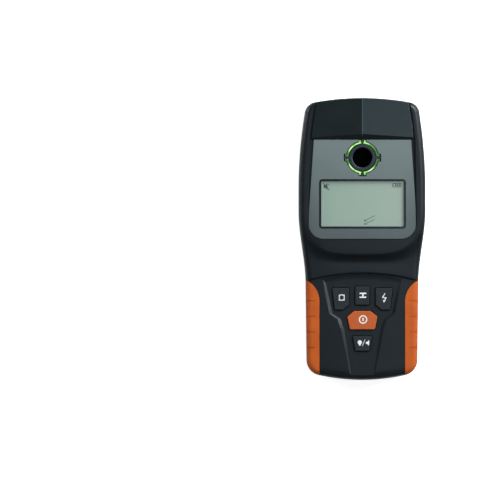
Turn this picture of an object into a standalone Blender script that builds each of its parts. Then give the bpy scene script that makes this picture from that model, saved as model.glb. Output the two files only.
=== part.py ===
"""Hand-held wall scanner: two moulded shells, a display, a lit marking hole and five keys.

Metres, +Z out of the face, +Y towards the head, the origin under the middle of the body.
Rings of points follow the body's outline and are bridged into the shells; prisms, turned
profiles and Booleans make what is let into them.
"""

import math

import bmesh
import bpy
from mathutils import Vector

# Body outline, seen from the front
HEAD_WIDTH = 0.0900
HANDLE_LENGTH = 0.0758       # from the arch to the foot end
NECK_IN = 0.0050             # how much each side draws in from the head to the waist
FOOT_TAPER = 0.0008          # how much narrower each side is at the foot than at the waist
HEAD_TAPER = 0.0062          # how much narrower each side is at the head end
SHOULDER_FROM_HEAD = 0.0655  # where the taper towards the head end starts
NECK_START = 0.0200          # above the plate's foot, where the sides start to draw in
NECK_LENGTH = 0.0520         # along which the head narrows to the waist
HEAD_CROWN_RADIUS = 0.188
HEAD_CORNER_RADIUS = 0.0090
FOOT_CROWN_RADIUS = 0.140
FOOT_CORNER_RADIUS = 0.0110

# Gaps and walls
SEAT_GAP = 0.0003
SHELL_WALL = 0.0022
DRAFT = 0.0004
TOP_EDGE_RADIUS = 0.0036
BACK_EDGE_RADIUS = 0.0030
BACK_DRAFT = 0.0008
SEAM_INSET = 0.00015
SEAM_HEIGHT = 0.0150
LIP_HEIGHT = 0.0012
LIP_INSET = 0.0010

# Stack of heights from the table to the keys
PAD_PROUD = 0.0008
COVER_THICK = 0.0021
BATTERY_DEPTH = 0.0175
BOX_WALL = 0.0015
BOARD_THICK = 0.0016
SWITCH_BODY = 0.0011
SWITCH_PLUNGER = 0.0005
KEY_TRAVEL = 0.0005
KEY_FLANGE = 0.0008
CHANNEL_WALL = 0.0015
CHANNEL_DEPTH = 0.0012
ARC_STEP = 0.0012
CHIN_RISE = 0.0040
RIDGE_RISE = 0.0018
LAND_FALL = 0.0006

# Neck and arch: the chin's edge lies below the plate, and the rest is measured from that edge
CHIN_BELOW_PLATE = 0.0116
CHIN_SAG = 0.0136
NECK_LOW_BELOW_CHIN = 0.0054
NECK_DIP = 0.0002
ARC_BELOW_CHIN = 0.0126
ARC_SAG = 0.0047
ARC_STEP_RUN = 0.0004

# Grey plate and roof: the roof takes up the head end, and the rim is what is left beside the plate
PLATE_TOP_FROM_HEAD = 0.0300
PLATE_BELOW_WINDOW = 0.0075
PLATE_BEND = 0.0200          # above the plate's foot, where its sides bend
RIM_AT_PLATE_TOP = 0.0088
RIM_AT_PLATE_BEND = 0.0072
RIM_AT_PLATE_FOOT = 0.0069   # from the head's widest line
PLATE_FOOT_RADIUS = 0.0105
PLATE_TOP_RADIUS = 0.0008
PLATE_THICK = 0.0012
PLATE_RECESS = 0.0012
ROOF_SIDE_MARGIN = 0.0069
ROOF_GROOVE = 0.0009
ROOF_END_MARGIN = 0.0008
ROOF_FRONT_RUN = 1.2         # how far the roof's front leans back for each unit that it rises
ROOF_SIDE_FALL = 0.0021
ROOF_END_FALL = 0.0008
ROOF_FRONT_GAP = 0.0004

# Display
WINDOW_SIDE_MARGIN = 0.00745  # of plate beside it
WINDOW_HEIGHT = 0.03435
WINDOW_BELOW_HOLE = 0.01555  # from the marking hole's middle
WINDOW_RADIUS = 0.0020
LENS_FLANGE = 0.0012
LENS_FLANGE_THICK = 0.0007
LENS_SUNK = 0.0002
LENS_POCKET_DEPTH = 0.0010
DISPLAY_MARGIN = 0.00105
DISPLAY_RADIUS = 0.0008
DISPLAY_THICK = 0.0022
FRAME_WALL = 0.0018
FRAME_FLOOR = 0.0015

# Marking hole
HOLE_BELOW_PLATE_TOP = 0.0126
BORE_RADIUS = 0.00687
BORE_CHAMFER = 0.0008
SLEEVE_WALL = 0.0016
COLLAR_DISC_RADIUS = 0.0092
COLLAR_DISC_THICK = 0.0020
COLLAR_ARM_REACH = 0.0129
COLLAR_ARM_WIDTH = 0.0016
COLLAR_SUNK = 0.0001
RING_INNER_RADIUS = 0.0098
RING_OUTER_RADIUS = 0.0112
RING_HOOK_REACH = 0.0122
RING_HOOK_WIDTH = 0.0012
PLATE_HOLE_CLEARANCE = 0.00045
TURN_STEPS = 48

# Keys: corners of the right half, measured from the arch and the middle line
KEY_CORNER_RADIUS = 0.0008
KEY_EDGE = 0.0004
KEY_RISE = 0.0017            # above the channel's floor
KEY_CLEARANCE = 0.0003
KEY_LIP = 0.0008             # flange under the channel's floor
MIDDLE_KEY_WIDTH = 0.0101
MODE_KEY_TOP = 0.0094
MODE_KEY_FOOT = 0.0225
SIDE_KEY_INNER = 0.0093
SIDE_KEY_OUTER = 0.0215
SIDE_KEY_TAPER = 0.0019
SIDE_KEY_TOP = 0.0105
SIDE_KEY_FOOT = 0.0260
SIDE_KEY_CUT = 0.0043
POWER_TOP = 0.0268
POWER_TOP_WIDTH = 0.0114
POWER_MID = 0.0308
POWER_MID_WIDTH = 0.0214
POWER_FOOT = 0.0399
POWER_FOOT_WIDTH = 0.0176
LOWER_KEY_TOP = 0.0446
LOWER_KEY_TOP_WIDTH = 0.0140
LOWER_KEY_FOOT = 0.0551
LOWER_KEY_FOOT_WIDTH = 0.0100

# Keypad channel: how far each line of its sides lies in, and its place below the arch
CHANNEL_RAMP = 0.0046
CHANNEL_DRAFT = 0.0032       # of its sides, at its arched end
CHANNEL_FOOT_DRAFT = 0.0021
CHANNEL_LAND = 0.0014        # between its widest line and the grips
CHANNEL_HIP_IN = 0.0046      # from its widest line
CHANNEL_HIP = 0.0287
CHANNEL_BEND_IN = 0.0104
CHANNEL_BEND = 0.0325
CHANNEL_KNEE_IN = 0.0129
CHANNEL_KNEE = 0.0399
CHANNEL_FOOT_IN = 0.0195

# Side grips
GRIP_WIDTH = 0.0097          # seen from the front, at the waist
GRIP_TIP_RADIUS = 0.0159
GRIP_TIP_CENTRE = 0.0196     # below the arch
GRIP_THICK = 0.0018
GRIP_ABOVE_SEAM = 0.0026
GROOVE_WIDTH = 0.0012
GROOVE_DEPTH = 0.0006
GROOVE_REACH = 0.0065        # from the body's side
FIRST_GROOVE = 0.0199
GROOVE_PITCH = 0.0110
GROOVES = 4
GROOVE_LOWEST = 0.0035       # above the grip's lower edge

# Screws and their posts: insets from the widest lines of the head and the waist
HEAD_SCREW_INSET = 0.0100
HEAD_SCREW_FROM_HEAD = 0.0300
FOOT_SCREW_INSET = 0.0087
FOOT_SCREW_FROM_FOOT = 0.0380
SCREW_RADIUS = 0.0015
SCREW_LENGTH = 0.0125
SCREW_HEAD_RADIUS = 0.0027
SCREW_HEAD_HEIGHT = 0.0018
SCREW_POINT = 0.0020
WELL_WALL = 0.0012
WELL_LEDGE = 0.0021
POST_TOP = 0.0120
BOSS_WALL = 0.0015
PILOT_MARGIN = 0.0012

# Glides
PAD_LENGTH = 0.0160
PAD_WIDTH = 0.0060
PAD_SINK = 0.0006
HEAD_PAD_INSET = 0.0190
HEAD_PAD_FROM_HEAD = 0.0140
FOOT_PAD_INSET = 0.0122
FOOT_PAD_FROM_FOOT = 0.0170

# Battery, its box and its cover
BATTERY_WIDTH = 0.0265
BATTERY_LENGTH = 0.0464
BATTERY_FROM_FOOT = 0.0052
BATTERY_EDGE = 0.0020
TERMINAL_SPACING = 0.0127
TERMINAL_HEIGHT = 0.0026
STUD_RADIUS = 0.0028
SOCKET_RADIUS = 0.0040
BATTERY_SIDE_ROOM = 0.00065
BOX_SIDE_WALL = 0.0020
SNAP_THICK = 0.0050
SNAP_HEIGHT = 0.0120
COVER_LIP = 0.0015
COVER_LIP_THICK = 0.0010
RAIL_WALL = 0.0022
RAIL_HEIGHT = 0.0023
THUMB_GROOVES = 5
THUMB_PITCH = 0.0022
THUMB_WIDTH = 0.0120
THUMB_DEPTH = 0.0006
THUMB_FROM_FOOT = 0.0140
WIRE_RADIUS = 0.0007
WIRE_SPACING = 0.0080
WIRE_REACH = 0.0100
WIRE_BEND = 0.0040

# Main board and what stands on it
BOARD_SIDE_GAP = 0.0007      # to the screw bosses
BOARD_ABOVE_PLATE = 0.0010   # past the plate's top
BOARD_SHOULDER = 0.0060
BOARD_FROM_FOOT = 0.0090
BOARD_RADIUS = 0.0015
BOARD_POST_RADIUS = 0.0025
BOARD_POST_INSET = 0.0050
BOARD_POST_ABOVE_WAIST = 0.0070
SWITCH_SIZE = 0.0060
SWITCH_PLUNGER_MARGIN = 0.0014
LED_SIZE = 0.0014
LED_HEIGHT = 0.0010
CHIP_SIZE = 0.0120
CHIP_HEIGHT = 0.0016
CHIP_ABOVE_ARC = 0.0122
BUZZER_RADIUS = 0.0060
BUZZER_HEIGHT = 0.0045
BUZZER_INSET = 0.0093        # from the board's side
BUZZER_ABOVE_ARC = 0.0102

# Search coil and antenna board in the head
SENSOR_BOARD_GAP = 0.0008    # to the screw wells
SENSOR_BOARD_FROM_HEAD = 0.0120
SENSOR_BOARD_LENGTH = 0.0680
SENSOR_POST_RADIUS = 0.0022
SENSOR_POST_SIDE_INSET = 0.0050
SENSOR_POST_END_INSET = 0.0060
SENSOR_POST_HEIGHT = 0.0007
BOBBIN_EDGE = 0.0015         # of board outside it
BOBBIN_WIDTH = 0.0095
BOBBIN_HEIGHT = 0.0061
BOBBIN_FLANGE = 0.0010
COIL_MARGIN = 0.0006

# Mesh steps
CROWN_STEPS = 4
CORNER_STEPS = 5
EDGE_STEPS = 4
COLUMNS = 20
BEND_STEPS = 8
FLATNESS = 1e-7              # radians a face may bend before it is split

# Places along the body that follow from the sizes above
WINDOW_FROM_HEAD = PLATE_TOP_FROM_HEAD + HOLE_BELOW_PLATE_TOP + WINDOW_BELOW_HOLE
PLATE_FOOT_FROM_HEAD = WINDOW_FROM_HEAD + WINDOW_HEIGHT + PLATE_BELOW_WINDOW
CHIN_FROM_HEAD = PLATE_FOOT_FROM_HEAD + CHIN_BELOW_PLATE
BODY_LENGTH = CHIN_FROM_HEAD + ARC_BELOW_CHIN + HANDLE_LENGTH
HEAD_END = BODY_LENGTH / 2
FOOT_END = -BODY_LENGTH / 2
SHOULDER_Y = HEAD_END - SHOULDER_FROM_HEAD
PLATE_TOP_Y = HEAD_END - PLATE_TOP_FROM_HEAD
HOLE_Y = PLATE_TOP_Y - HOLE_BELOW_PLATE_TOP
WINDOW_TOP_Y = HEAD_END - WINDOW_FROM_HEAD
WINDOW_FOOT_Y = WINDOW_TOP_Y - WINDOW_HEIGHT
PLATE_FOOT_Y = HEAD_END - PLATE_FOOT_FROM_HEAD
NECK_TOP_Y = PLATE_FOOT_Y + NECK_START
NECK_FOOT_Y = NECK_TOP_Y - NECK_LENGTH
CHIN_Y = HEAD_END - CHIN_FROM_HEAD
NECK_LOW_Y = CHIN_Y - NECK_LOW_BELOW_CHIN
ARC_Y = CHIN_Y - ARC_BELOW_CHIN

# Places across the body
WAIST_HALF = HEAD_WIDTH / 2 - NECK_IN
FOOT_HALF = WAIST_HALF - FOOT_TAPER
PLATE_BEND_HALF = HEAD_WIDTH / 2 - RIM_AT_PLATE_BEND
WINDOW_WIDTH = 2 * (PLATE_BEND_HALF - WINDOW_SIDE_MARGIN)
GRIP_INNER_HALF = WAIST_HALF - GRIP_WIDTH
CHANNEL_TOP_HALF = GRIP_INNER_HALF - CHANNEL_LAND
BOSS_RADIUS = SCREW_RADIUS + SEAT_GAP + BOSS_WALL
WELL_RADIUS = SCREW_HEAD_RADIUS + SEAT_GAP
WELL_POST_RADIUS = WELL_RADIUS + WELL_WALL
HEAD_SCREW_HALF = HEAD_WIDTH / 2 - HEAD_SCREW_INSET
FOOT_SCREW_HALF = WAIST_HALF - FOOT_SCREW_INSET
BOARD_HEAD_HALF = HEAD_SCREW_HALF - BOSS_RADIUS - BOARD_SIDE_GAP
BOARD_GRIP_HALF = FOOT_SCREW_HALF - BOSS_RADIUS - BOARD_SIDE_GAP
SENSOR_BOARD_HALF = HEAD_SCREW_HALF - WELL_POST_RADIUS - SENSOR_BOARD_GAP
BOBBIN_OUTER_RADIUS = SENSOR_BOARD_HALF - BOBBIN_EDGE
BOBBIN_INNER_RADIUS = BOBBIN_OUTER_RADIUS - BOBBIN_WIDTH

# Heights
BACK_Z = PAD_PROUD
FLOOR_Z = BACK_Z + SHELL_WALL
BATTERY_Z = BACK_Z + COVER_THICK + SEAT_GAP
BOX_INNER_Z = BATTERY_Z + BATTERY_DEPTH + SEAT_GAP
BOX_TOP_Z = BOX_INNER_Z + BOX_WALL
BOARD_Z = BOX_TOP_Z + SEAT_GAP
BOARD_TOP_Z = BOARD_Z + BOARD_THICK
PARTS_Z = BOARD_TOP_Z + SEAT_GAP
KEY_Z = PARTS_Z + SWITCH_BODY + SWITCH_PLUNGER + KEY_TRAVEL + SEAT_GAP
GRIP_CEILING_Z = KEY_Z + KEY_FLANGE + SEAT_GAP
CHANNEL_Z = GRIP_CEILING_Z + CHANNEL_WALL
KEY_TOP_Z = CHANNEL_Z + KEY_RISE
LAND_Z = CHANNEL_Z + CHANNEL_DEPTH
ARC_Z = LAND_Z + ARC_STEP
RIM_Z = ARC_Z + CHIN_RISE
RIDGE_Z = RIM_Z + RIDGE_RISE
PLATE_Z = RIM_Z - PLATE_RECESS - PLATE_THICK
SEAT_Z = PLATE_Z - SEAT_GAP
HEAD_CEILING_Z = SEAT_Z - SHELL_WALL
LENS_POCKET_Z = SEAT_Z - LENS_POCKET_DEPTH
LENS_Z = LENS_POCKET_Z + SEAT_GAP
DISPLAY_TOP_Z = LENS_Z - SEAT_GAP
SLEEVE_RADIUS = BORE_RADIUS + SLEEVE_WALL
SLEEVE_HOLE_RADIUS = SLEEVE_RADIUS + SEAT_GAP
BATTERY_FOOT_Y = FOOT_END + BATTERY_FROM_FOOT
BATTERY_TOP_Y = BATTERY_FOOT_Y + BATTERY_LENGTH
BATTERY_MID_Z = BATTERY_Z + BATTERY_DEPTH / 2
SNAP_Y = BATTERY_TOP_Y + SEAT_GAP
BOX_END_Y = SNAP_Y + SNAP_THICK + SEAT_GAP
BOX_FOOT_Y = BATTERY_FOOT_Y - SEAT_GAP
BOX_HALF = BATTERY_WIDTH / 2 + BATTERY_SIDE_ROOM
COVER_HALF = BOX_HALF + BOX_SIDE_WALL - SEAT_GAP
COVER_LIP_HALF = COVER_HALF + COVER_LIP
COVER_TOP_Z = BACK_Z + COVER_THICK
SENSOR_BOARD_Z = FLOOR_Z + SENSOR_POST_HEIGHT + SEAT_GAP
BOBBIN_Z = SENSOR_BOARD_Z + BOARD_THICK + SEAT_GAP
ABOVE = 2 * RIDGE_Z          # taller than the whole body, for cutters
BELOW = -RIDGE_Z


def clear_scene():
    for old in list(bpy.data.objects):
        bpy.data.objects.remove(old, do_unlink=True)


def new_material(name, colour, roughness, metallic=0.0, alpha=1.0):
    made = bpy.data.materials.new(name)
    made.use_nodes = True
    shader = made.node_tree.nodes["Principled BSDF"]
    shader.inputs["Base Color"].default_value = (*colour, 1.0)
    shader.inputs["Roughness"].default_value = roughness
    shader.inputs["Metallic"].default_value = metallic
    shader.inputs["Alpha"].default_value = alpha
    return made


def add_object(name, bm, skin=None, origin=(0.0, 0.0, 0.0)):
    """Puts a bmesh drawn in world coordinates into the scene, with its origin at the given point."""
    bmesh.ops.connect_verts_nonplanar(bm, angle_limit=FLATNESS, faces=bm.faces)
    bmesh.ops.recalc_face_normals(bm, faces=bm.faces)
    bmesh.ops.translate(bm, verts=bm.verts, vec=-Vector(origin))
    mesh = bpy.data.meshes.new(name)
    bm.to_mesh(mesh)
    bm.free()
    mesh.shade_smooth()
    mesh.set_sharp_from_angle(angle=math.radians(32))
    made = bpy.data.objects.new(name, mesh)
    made.location = origin
    bpy.context.scene.collection.objects.link(made)
    if skin:
        mesh.materials.append(skin)
    return made


def as_cutter(obj):
    obj.hide_render = True
    obj.display_type = "WIRE"
    return obj


def combine(target, other, operation, solver="EXACT"):
    """Joins, cuts or intersects the target with a helper object that is hidden afterwards."""
    boolean = target.modifiers.new(operation.lower() + " " + other.name, "BOOLEAN")
    boolean.operation = operation
    boolean.solver = solver
    boolean.object = as_cutter(other)


def bridge(bm, first, second):
    """Faces between two closed rings of as many vertices."""
    count = len(first)
    for i in range(count):
        j = (i + 1) % count
        bm.faces.new((first[i], first[j], second[j], second[i]))


def lofted(rings):
    """A bmesh that joins rings of points one above the other and closes the first and the last."""
    bm = bmesh.new()
    loops = [[bm.verts.new(point) for point in ring] for ring in rings]
    for lower, upper in zip(loops, loops[1:]):
        bridge(bm, lower, upper)
    bm.faces.new(loops[0])
    bm.faces.new(loops[-1])
    return bm


def prism(outline, low, high):
    """An outline of (x, y) points as a straight block between two heights."""
    return lofted([[(x, y, z) for x, y in outline] for z in (low, high)])


def box(x_low, x_high, y_low, y_high, z_low, z_high):
    corners = [(x_low, y_low), (x_high, y_low), (x_high, y_high), (x_low, y_high)]
    return prism(corners, z_low, z_high)


def circle(centre_x, centre_y, radius, steps=TURN_STEPS):
    turns = [2 * math.pi * k / steps for k in range(steps)]
    return [(centre_x + radius * math.cos(a), centre_y + radius * math.sin(a)) for a in turns]


def cylinder(centre_x, centre_y, radius, low, high, steps=TURN_STEPS):
    return prism(circle(centre_x, centre_y, radius, steps), low, high)


def turned(profile, centre_x, centre_y, steps=TURN_STEPS):
    """Spins a closed (radius, height) profile that stays off the axis round a vertical axis."""
    bm = bmesh.new()
    verts = [bm.verts.new((centre_x + radius, centre_y, z)) for radius, z in profile]
    face = bm.faces.new(verts)
    bmesh.ops.spin(bm, geom=face.edges[:] + face.verts[:], cent=(centre_x, centre_y, 0.0),
                   axis=(0.0, 0.0, 1.0), angle=2 * math.pi, steps=steps, use_duplicate=False)
    bmesh.ops.delete(bm, geom=[face], context="FACES_ONLY")
    bmesh.ops.remove_doubles(bm, verts=bm.verts, dist=1e-6)
    return bm


def stacked(centre_x, centre_y, levels, steps=TURN_STEPS):
    """A solid of revolution from (radius, height) levels, closed at both ends."""
    return lofted([[(x, y, z) for x, y in circle(centre_x, centre_y, r, steps)] for r, z in levels])


def rounded(corners, radii, grow=0.0, steps=4):
    """A polygon with round corners, moved outward by grow. Corners run counter-clockwise."""
    outline = []
    count = len(corners)
    for i, (corner, radius) in enumerate(zip(corners, radii)):
        here = Vector(corner)
        before = (Vector(corners[i - 1]) - here).normalized()
        after = (Vector(corners[(i + 1) % count]) - here).normalized()
        half = before.angle(after) / 2
        centre = here + (before + after).normalized() * (radius / math.sin(half))
        first_normal = Vector((-before.y, before.x))
        last_normal = Vector((after.y, -after.x))
        start = math.atan2(first_normal.y, first_normal.x)
        sweep = first_normal.angle(last_normal)
        for k in range(steps + 1):
            a = start + sweep * k / steps
            outline.append((centre.x + (radius + grow) * math.cos(a),
                            centre.y + (radius + grow) * math.sin(a)))
    # Where two arcs meet with no straight run between them, their shared point is kept once.
    return [here for before, here in zip([outline[-1]] + outline, outline)
            if math.dist(before, here) > 1e-6]


def mirrored(right_half):
    """A whole outline from the corners on its right side, listed from foot to head."""
    return list(right_half) + [(-x, y) for x, y in reversed(right_half)]


def plus_outline(arm_half, reach, centre_y):
    """A cross of four equal arms on the middle line."""
    w, r = arm_half, reach
    arms = [(w, -r), (w, -w), (r, -w), (r, w), (w, w), (w, r),
            (-w, r), (-w, w), (-r, w), (-r, -w), (-w, -w), (-w, -r)]
    return [(x, centre_y + y) for x, y in arms]


def smooth(t):
    t = min(max(t, 0.0), 1.0)
    return t * t * (3 - 2 * t)


def mix(a, b, t):
    return a + (b - a) * t


def half_width(y):
    """Half the body's width: a bowed head that narrows along the neck to the waist."""
    if y > SHOULDER_Y:
        t = (y - SHOULDER_Y) / SHOULDER_FROM_HEAD
        return HEAD_WIDTH / 2 - HEAD_TAPER * t * t
    if y > NECK_FOOT_Y:
        return HEAD_WIDTH / 2 - NECK_IN * smooth((NECK_TOP_Y - y) / NECK_LENGTH)
    return mix(WAIST_HALF, FOOT_HALF, (NECK_FOOT_Y - y) / (NECK_FOOT_Y - FOOT_END))


def end_corner(crown_radius, corner_radius, end):
    """Centre of the arc that joins a side to a crowned end, and the crown's half angle there."""
    y = end * (BODY_LENGTH / 2 - corner_radius)
    for _ in range(4):
        x = half_width(y) - corner_radius
        reach = math.sqrt((crown_radius - corner_radius) ** 2 - x * x)
        y = end * (BODY_LENGTH / 2 - crown_radius + reach)
    return x, y, math.asin(x / (crown_radius - corner_radius))


def end_rows(crown_radius, corner_radius, end):
    """Outline points with their outward directions, from the middle of one end to the side."""
    x, y, crown_angle = end_corner(crown_radius, corner_radius, end)
    rows = []
    for k in range(CROWN_STEPS):
        a = crown_angle * k / CROWN_STEPS
        rows.append((crown_radius * math.sin(a),
                     end * (BODY_LENGTH / 2 - crown_radius + crown_radius * math.cos(a)),
                     math.sin(a), end * math.cos(a)))
    for k in range(CORNER_STEPS):
        a = mix(crown_angle, math.pi / 2, k / CORNER_STEPS)
        rows.append((x + corner_radius * math.sin(a), y + end * corner_radius * math.cos(a),
                     math.sin(a), end * math.cos(a)))
    return rows, y


def side_row(y):
    slope = (half_width(y + 1e-5) - half_width(y - 1e-5)) / 2e-5
    length = math.hypot(1.0, slope)
    return half_width(y), y, 1 / length, -slope / length


class Section:
    """One line across the face: where it meets the side, and where and how high its middle is."""

    def __init__(self, side_y, middle_y, side_z, middle_z, power=2.0, steps=1):
        self.side_y = side_y
        self.middle_y = middle_y
        self.side_z = side_z
        self.middle_z = middle_z
        self.power = power
        self.steps = steps

    def towards(self, other, t):
        pairs = ((self.side_y, other.side_y), (self.middle_y, other.middle_y),
                 (self.side_z, other.side_z), (self.middle_z, other.middle_z),
                 (self.power, other.power))
        return Section(*[mix(a, b, t) for a, b in pairs])


def face_sections():
    """The lines that shape the face from the head to the foot; steps divide the way to the next."""
    chin_side_y = CHIN_Y + CHIN_SAG
    arc_side_y = ARC_Y - ARC_SAG
    head_y = end_corner(HEAD_CROWN_RADIUS, HEAD_CORNER_RADIUS, 1)[1]
    foot_y = end_corner(FOOT_CROWN_RADIUS, FOOT_CORNER_RADIUS, -1)[1]
    plain_y = chin_side_y + CHIN_SAG
    chin_drop = CHIN_RISE + NECK_DIP
    return [
        Section(head_y, head_y, RIM_Z, RIM_Z, 4.0, 6),
        Section(plain_y, plain_y, RIM_Z, RIM_Z, 4.0, 3),
        Section(chin_side_y, CHIN_Y, RIM_Z - chin_drop * 0.2, RIM_Z - chin_drop * 0.08, 4.0, 1),
        Section(mix(chin_side_y, arc_side_y, 0.12), mix(CHIN_Y, NECK_LOW_Y, 0.45),
                RIM_Z - chin_drop * 0.5, RIM_Z - chin_drop * 0.68, 4.0, 1),
        Section(mix(chin_side_y, arc_side_y, 0.32), NECK_LOW_Y,
                RIM_Z - chin_drop * 0.86, RIM_Z - chin_drop, 3.6, 1),
        Section(mix(chin_side_y, arc_side_y, 0.62), mix(NECK_LOW_Y, ARC_Y, 0.5),
                ARC_Z - LAND_FALL * 0.5, ARC_Z + NECK_DIP, 2.8, 1),
        Section(arc_side_y, ARC_Y, ARC_Z - LAND_FALL, ARC_Z, 2.0, 1),
        Section(arc_side_y - ARC_STEP_RUN, ARC_Y - ARC_STEP_RUN,
                LAND_Z - LAND_FALL, LAND_Z, 2.0, 2),
        Section(mix(arc_side_y, foot_y, 0.3), mix(arc_side_y, foot_y, 0.3),
                LAND_Z - LAND_FALL, LAND_Z - LAND_FALL * 0.2, 2.0, 4),
        Section(foot_y, foot_y, LAND_Z - 2 * LAND_FALL, LAND_Z - LAND_FALL, 2.0, 1),
    ]


def body_rows():
    """Pairs of an outline point and the section that crosses the face there, head end first."""
    sections = face_sections()
    head, head_y = end_rows(HEAD_CROWN_RADIUS, HEAD_CORNER_RADIUS, 1)
    foot, foot_y = end_rows(FOOT_CROWN_RADIUS, FOOT_CORNER_RADIUS, -1)
    first, last = sections[0], sections[-1]
    rows = [(point, Section(0, 0, first.side_z, first.middle_z)) for point in head]
    for here, after in zip(sections, sections[1:]):
        for k in range(here.steps):
            between = here.towards(after, k / here.steps)
            rows.append((side_row(between.side_y), between))
    rows.append((side_row(foot_y), last))
    rows += [(point, Section(0, 0, last.side_z, last.middle_z)) for point in reversed(foot)]
    return rows


def around(rows, inset, height):
    """A closed ring inside the outline. Inset and height are sizes, or functions of a row."""
    right = []
    for row in rows:
        (x, y, out_x, out_y), _ = row
        d = inset(row) if callable(inset) else inset
        z = height(row) if callable(height) else height
        right.append((max(x - d * out_x, 0.0), y - d * out_y, z))
    left = [(-x, y, z) for x, y, z in reversed(right[1:-1])]
    return right + left


def cover_face(bm, loop, rows, columns, middle=True):
    """Closes a ring of the body with lines across it that follow the sections."""
    count = len(rows)
    lines = []
    for i, (_, section) in enumerate(rows):
        right = loop[i]
        left = loop[-i] if 0 < i < count - 1 else right
        line = [left]
        bow = section.middle_y - section.side_y if middle else 0.0
        lift = section.middle_z - section.side_z if middle else 0.0
        if left is not right:
            for j in range(1, columns):
                t = 2 * j / columns - 1
                line.append(bm.verts.new((t * right.co.x,
                                          right.co.y + bow * (1 - abs(t) ** section.power),
                                          right.co.z + lift * (1 - t * t))))
            line.append(right)
        lines.append(line)
    for upper, lower in zip(lines, lines[1:]):
        if len(upper) == 1:
            for j in range(columns):
                bm.faces.new((upper[0], lower[j], lower[j + 1]))
        elif len(lower) == 1:
            for j in range(columns):
                bm.faces.new((upper[j], lower[0], upper[j + 1]))
        else:
            for j in range(columns):
                bm.faces.new((upper[j], lower[j], lower[j + 1], upper[j + 1]))


def top_edge(inset, drop):
    """Insets and depths below the face of the rings that round its edge, from the wall up."""
    edge = []
    for k in range(EDGE_STEPS + 1):
        a = math.pi / 2 * k / EDGE_STEPS
        edge.append((inset + DRAFT + TOP_EDGE_RADIUS * (1 - math.cos(a)),
                     drop + TOP_EDGE_RADIUS * (1 - math.sin(a))))
    return edge


def face_rings(rows, inset, drop):
    return [around(rows, d, lambda row, depth=depth: row[1].side_z - depth)
            for d, depth in top_edge(inset, drop)]


def body_blank(rows, inset, drop, bottom):
    """The front of the body as a solid, set in from its skin all round and lowered by drop."""
    bm = bmesh.new()
    rings = [around(rows, inset, bottom)] + face_rings(rows, inset, drop)
    loops = [[bm.verts.new(point) for point in ring] for ring in rings]
    for lower, upper in zip(loops, loops[1:]):
        bridge(bm, lower, upper)
    bm.faces.new(loops[0])
    cover_face(bm, loops[-1], rows, COLUMNS)
    return bm


def inner_wall(row):
    """The side wall is thicker below the neck, where the grips are let into it."""
    (_, y, out_x, _), _ = row
    grip_wall = GRIP_THICK + SEAT_GAP
    return SHELL_WALL + grip_wall * smooth((NECK_TOP_Y - y) / NECK_LENGTH) * smooth(out_x * 1.2)


def ceiling(row):
    (_, y, _, _), _ = row
    t = 2 * (PLATE_FOOT_Y - y) / (PLATE_FOOT_Y - ARC_Y)
    return mix(HEAD_CEILING_Z, GRIP_CEILING_Z, smooth(t))


def front_shell_mesh(rows):
    bm = bmesh.new()
    seam = SEAM_HEIGHT + SEAT_GAP
    rebate = SEAM_HEIGHT + LIP_HEIGHT + SEAT_GAP
    inner_edge = SHELL_WALL / 2
    inner = [
        around(rows, lambda row: inner_wall(row) + inner_edge, ceiling),
        around(rows, inner_wall, lambda row: ceiling(row) - inner_edge),
        around(rows, inner_wall, rebate),
        around(rows, LIP_INSET - SEAT_GAP, rebate),
        around(rows, LIP_INSET - SEAT_GAP, seam),
        around(rows, 0.0, seam),
    ]
    loops = [[bm.verts.new(point) for point in ring] for ring in inner + face_rings(rows, 0.0, 0.0)]
    for lower, upper in zip(loops, loops[1:]):
        bridge(bm, lower, upper)
    cover_face(bm, loops[0], rows, 1, middle=False)
    cover_face(bm, loops[-1], rows, COLUMNS)
    return bm


def back_rings(rows, inset=0.0):
    """Rings of the back shell's skin, from the flat back to the seam."""
    rings = []
    for k in range(EDGE_STEPS + 1):
        a = math.pi / 2 * k / EDGE_STEPS
        rings.append(around(rows, inset + BACK_DRAFT + BACK_EDGE_RADIUS * (1 - math.sin(a)),
                            BACK_Z + BACK_EDGE_RADIUS * (1 - math.cos(a))))
    rings.append(around(rows, inset + SEAM_INSET, SEAM_HEIGHT))
    return rings


def rear_shell_mesh(rows):
    bm = bmesh.new()
    lip = SEAM_HEIGHT + LIP_HEIGHT
    rings = back_rings(rows) + [
        around(rows, LIP_INSET, SEAM_HEIGHT),
        around(rows, LIP_INSET, lip),
        around(rows, SHELL_WALL, lip),
        around(rows, BACK_DRAFT + SHELL_WALL, FLOOR_Z + SHELL_WALL),
        around(rows, BACK_DRAFT + 2 * SHELL_WALL, FLOOR_Z),
    ]
    loops = [[bm.verts.new(point) for point in ring] for ring in rings]
    for lower, upper in zip(loops, loops[1:]):
        bridge(bm, lower, upper)
    cover_face(bm, loops[0], rows, 1, middle=False)
    cover_face(bm, loops[-1], rows, 1, middle=False)
    return bm


def plate_outline(grow=0.0):
    """The grey plate: widening sides and large round lower corners."""
    right = [(HEAD_WIDTH / 2 - RIM_AT_PLATE_FOOT, PLATE_FOOT_Y),
             (PLATE_BEND_HALF, PLATE_FOOT_Y + PLATE_BEND),
             (half_width(PLATE_TOP_Y) - RIM_AT_PLATE_TOP, PLATE_TOP_Y)]
    radii = [PLATE_FOOT_RADIUS, PLATE_FOOT_RADIUS, PLATE_TOP_RADIUS]
    return rounded(mirrored(right), radii + radii[::-1], grow, 5)


def window_outline(width, top_y, foot_y, radius, grow=0.0):
    corners = mirrored([(width / 2, foot_y), (width / 2, top_y)])
    return rounded(corners, [radius] * 4, grow, 3)


def head_end_y(x):
    """The crowned head end, where the roof and its pocket stop."""
    return HEAD_END - HEAD_CROWN_RADIUS + math.sqrt(HEAD_CROWN_RADIUS ** 2 - x * x)


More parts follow.
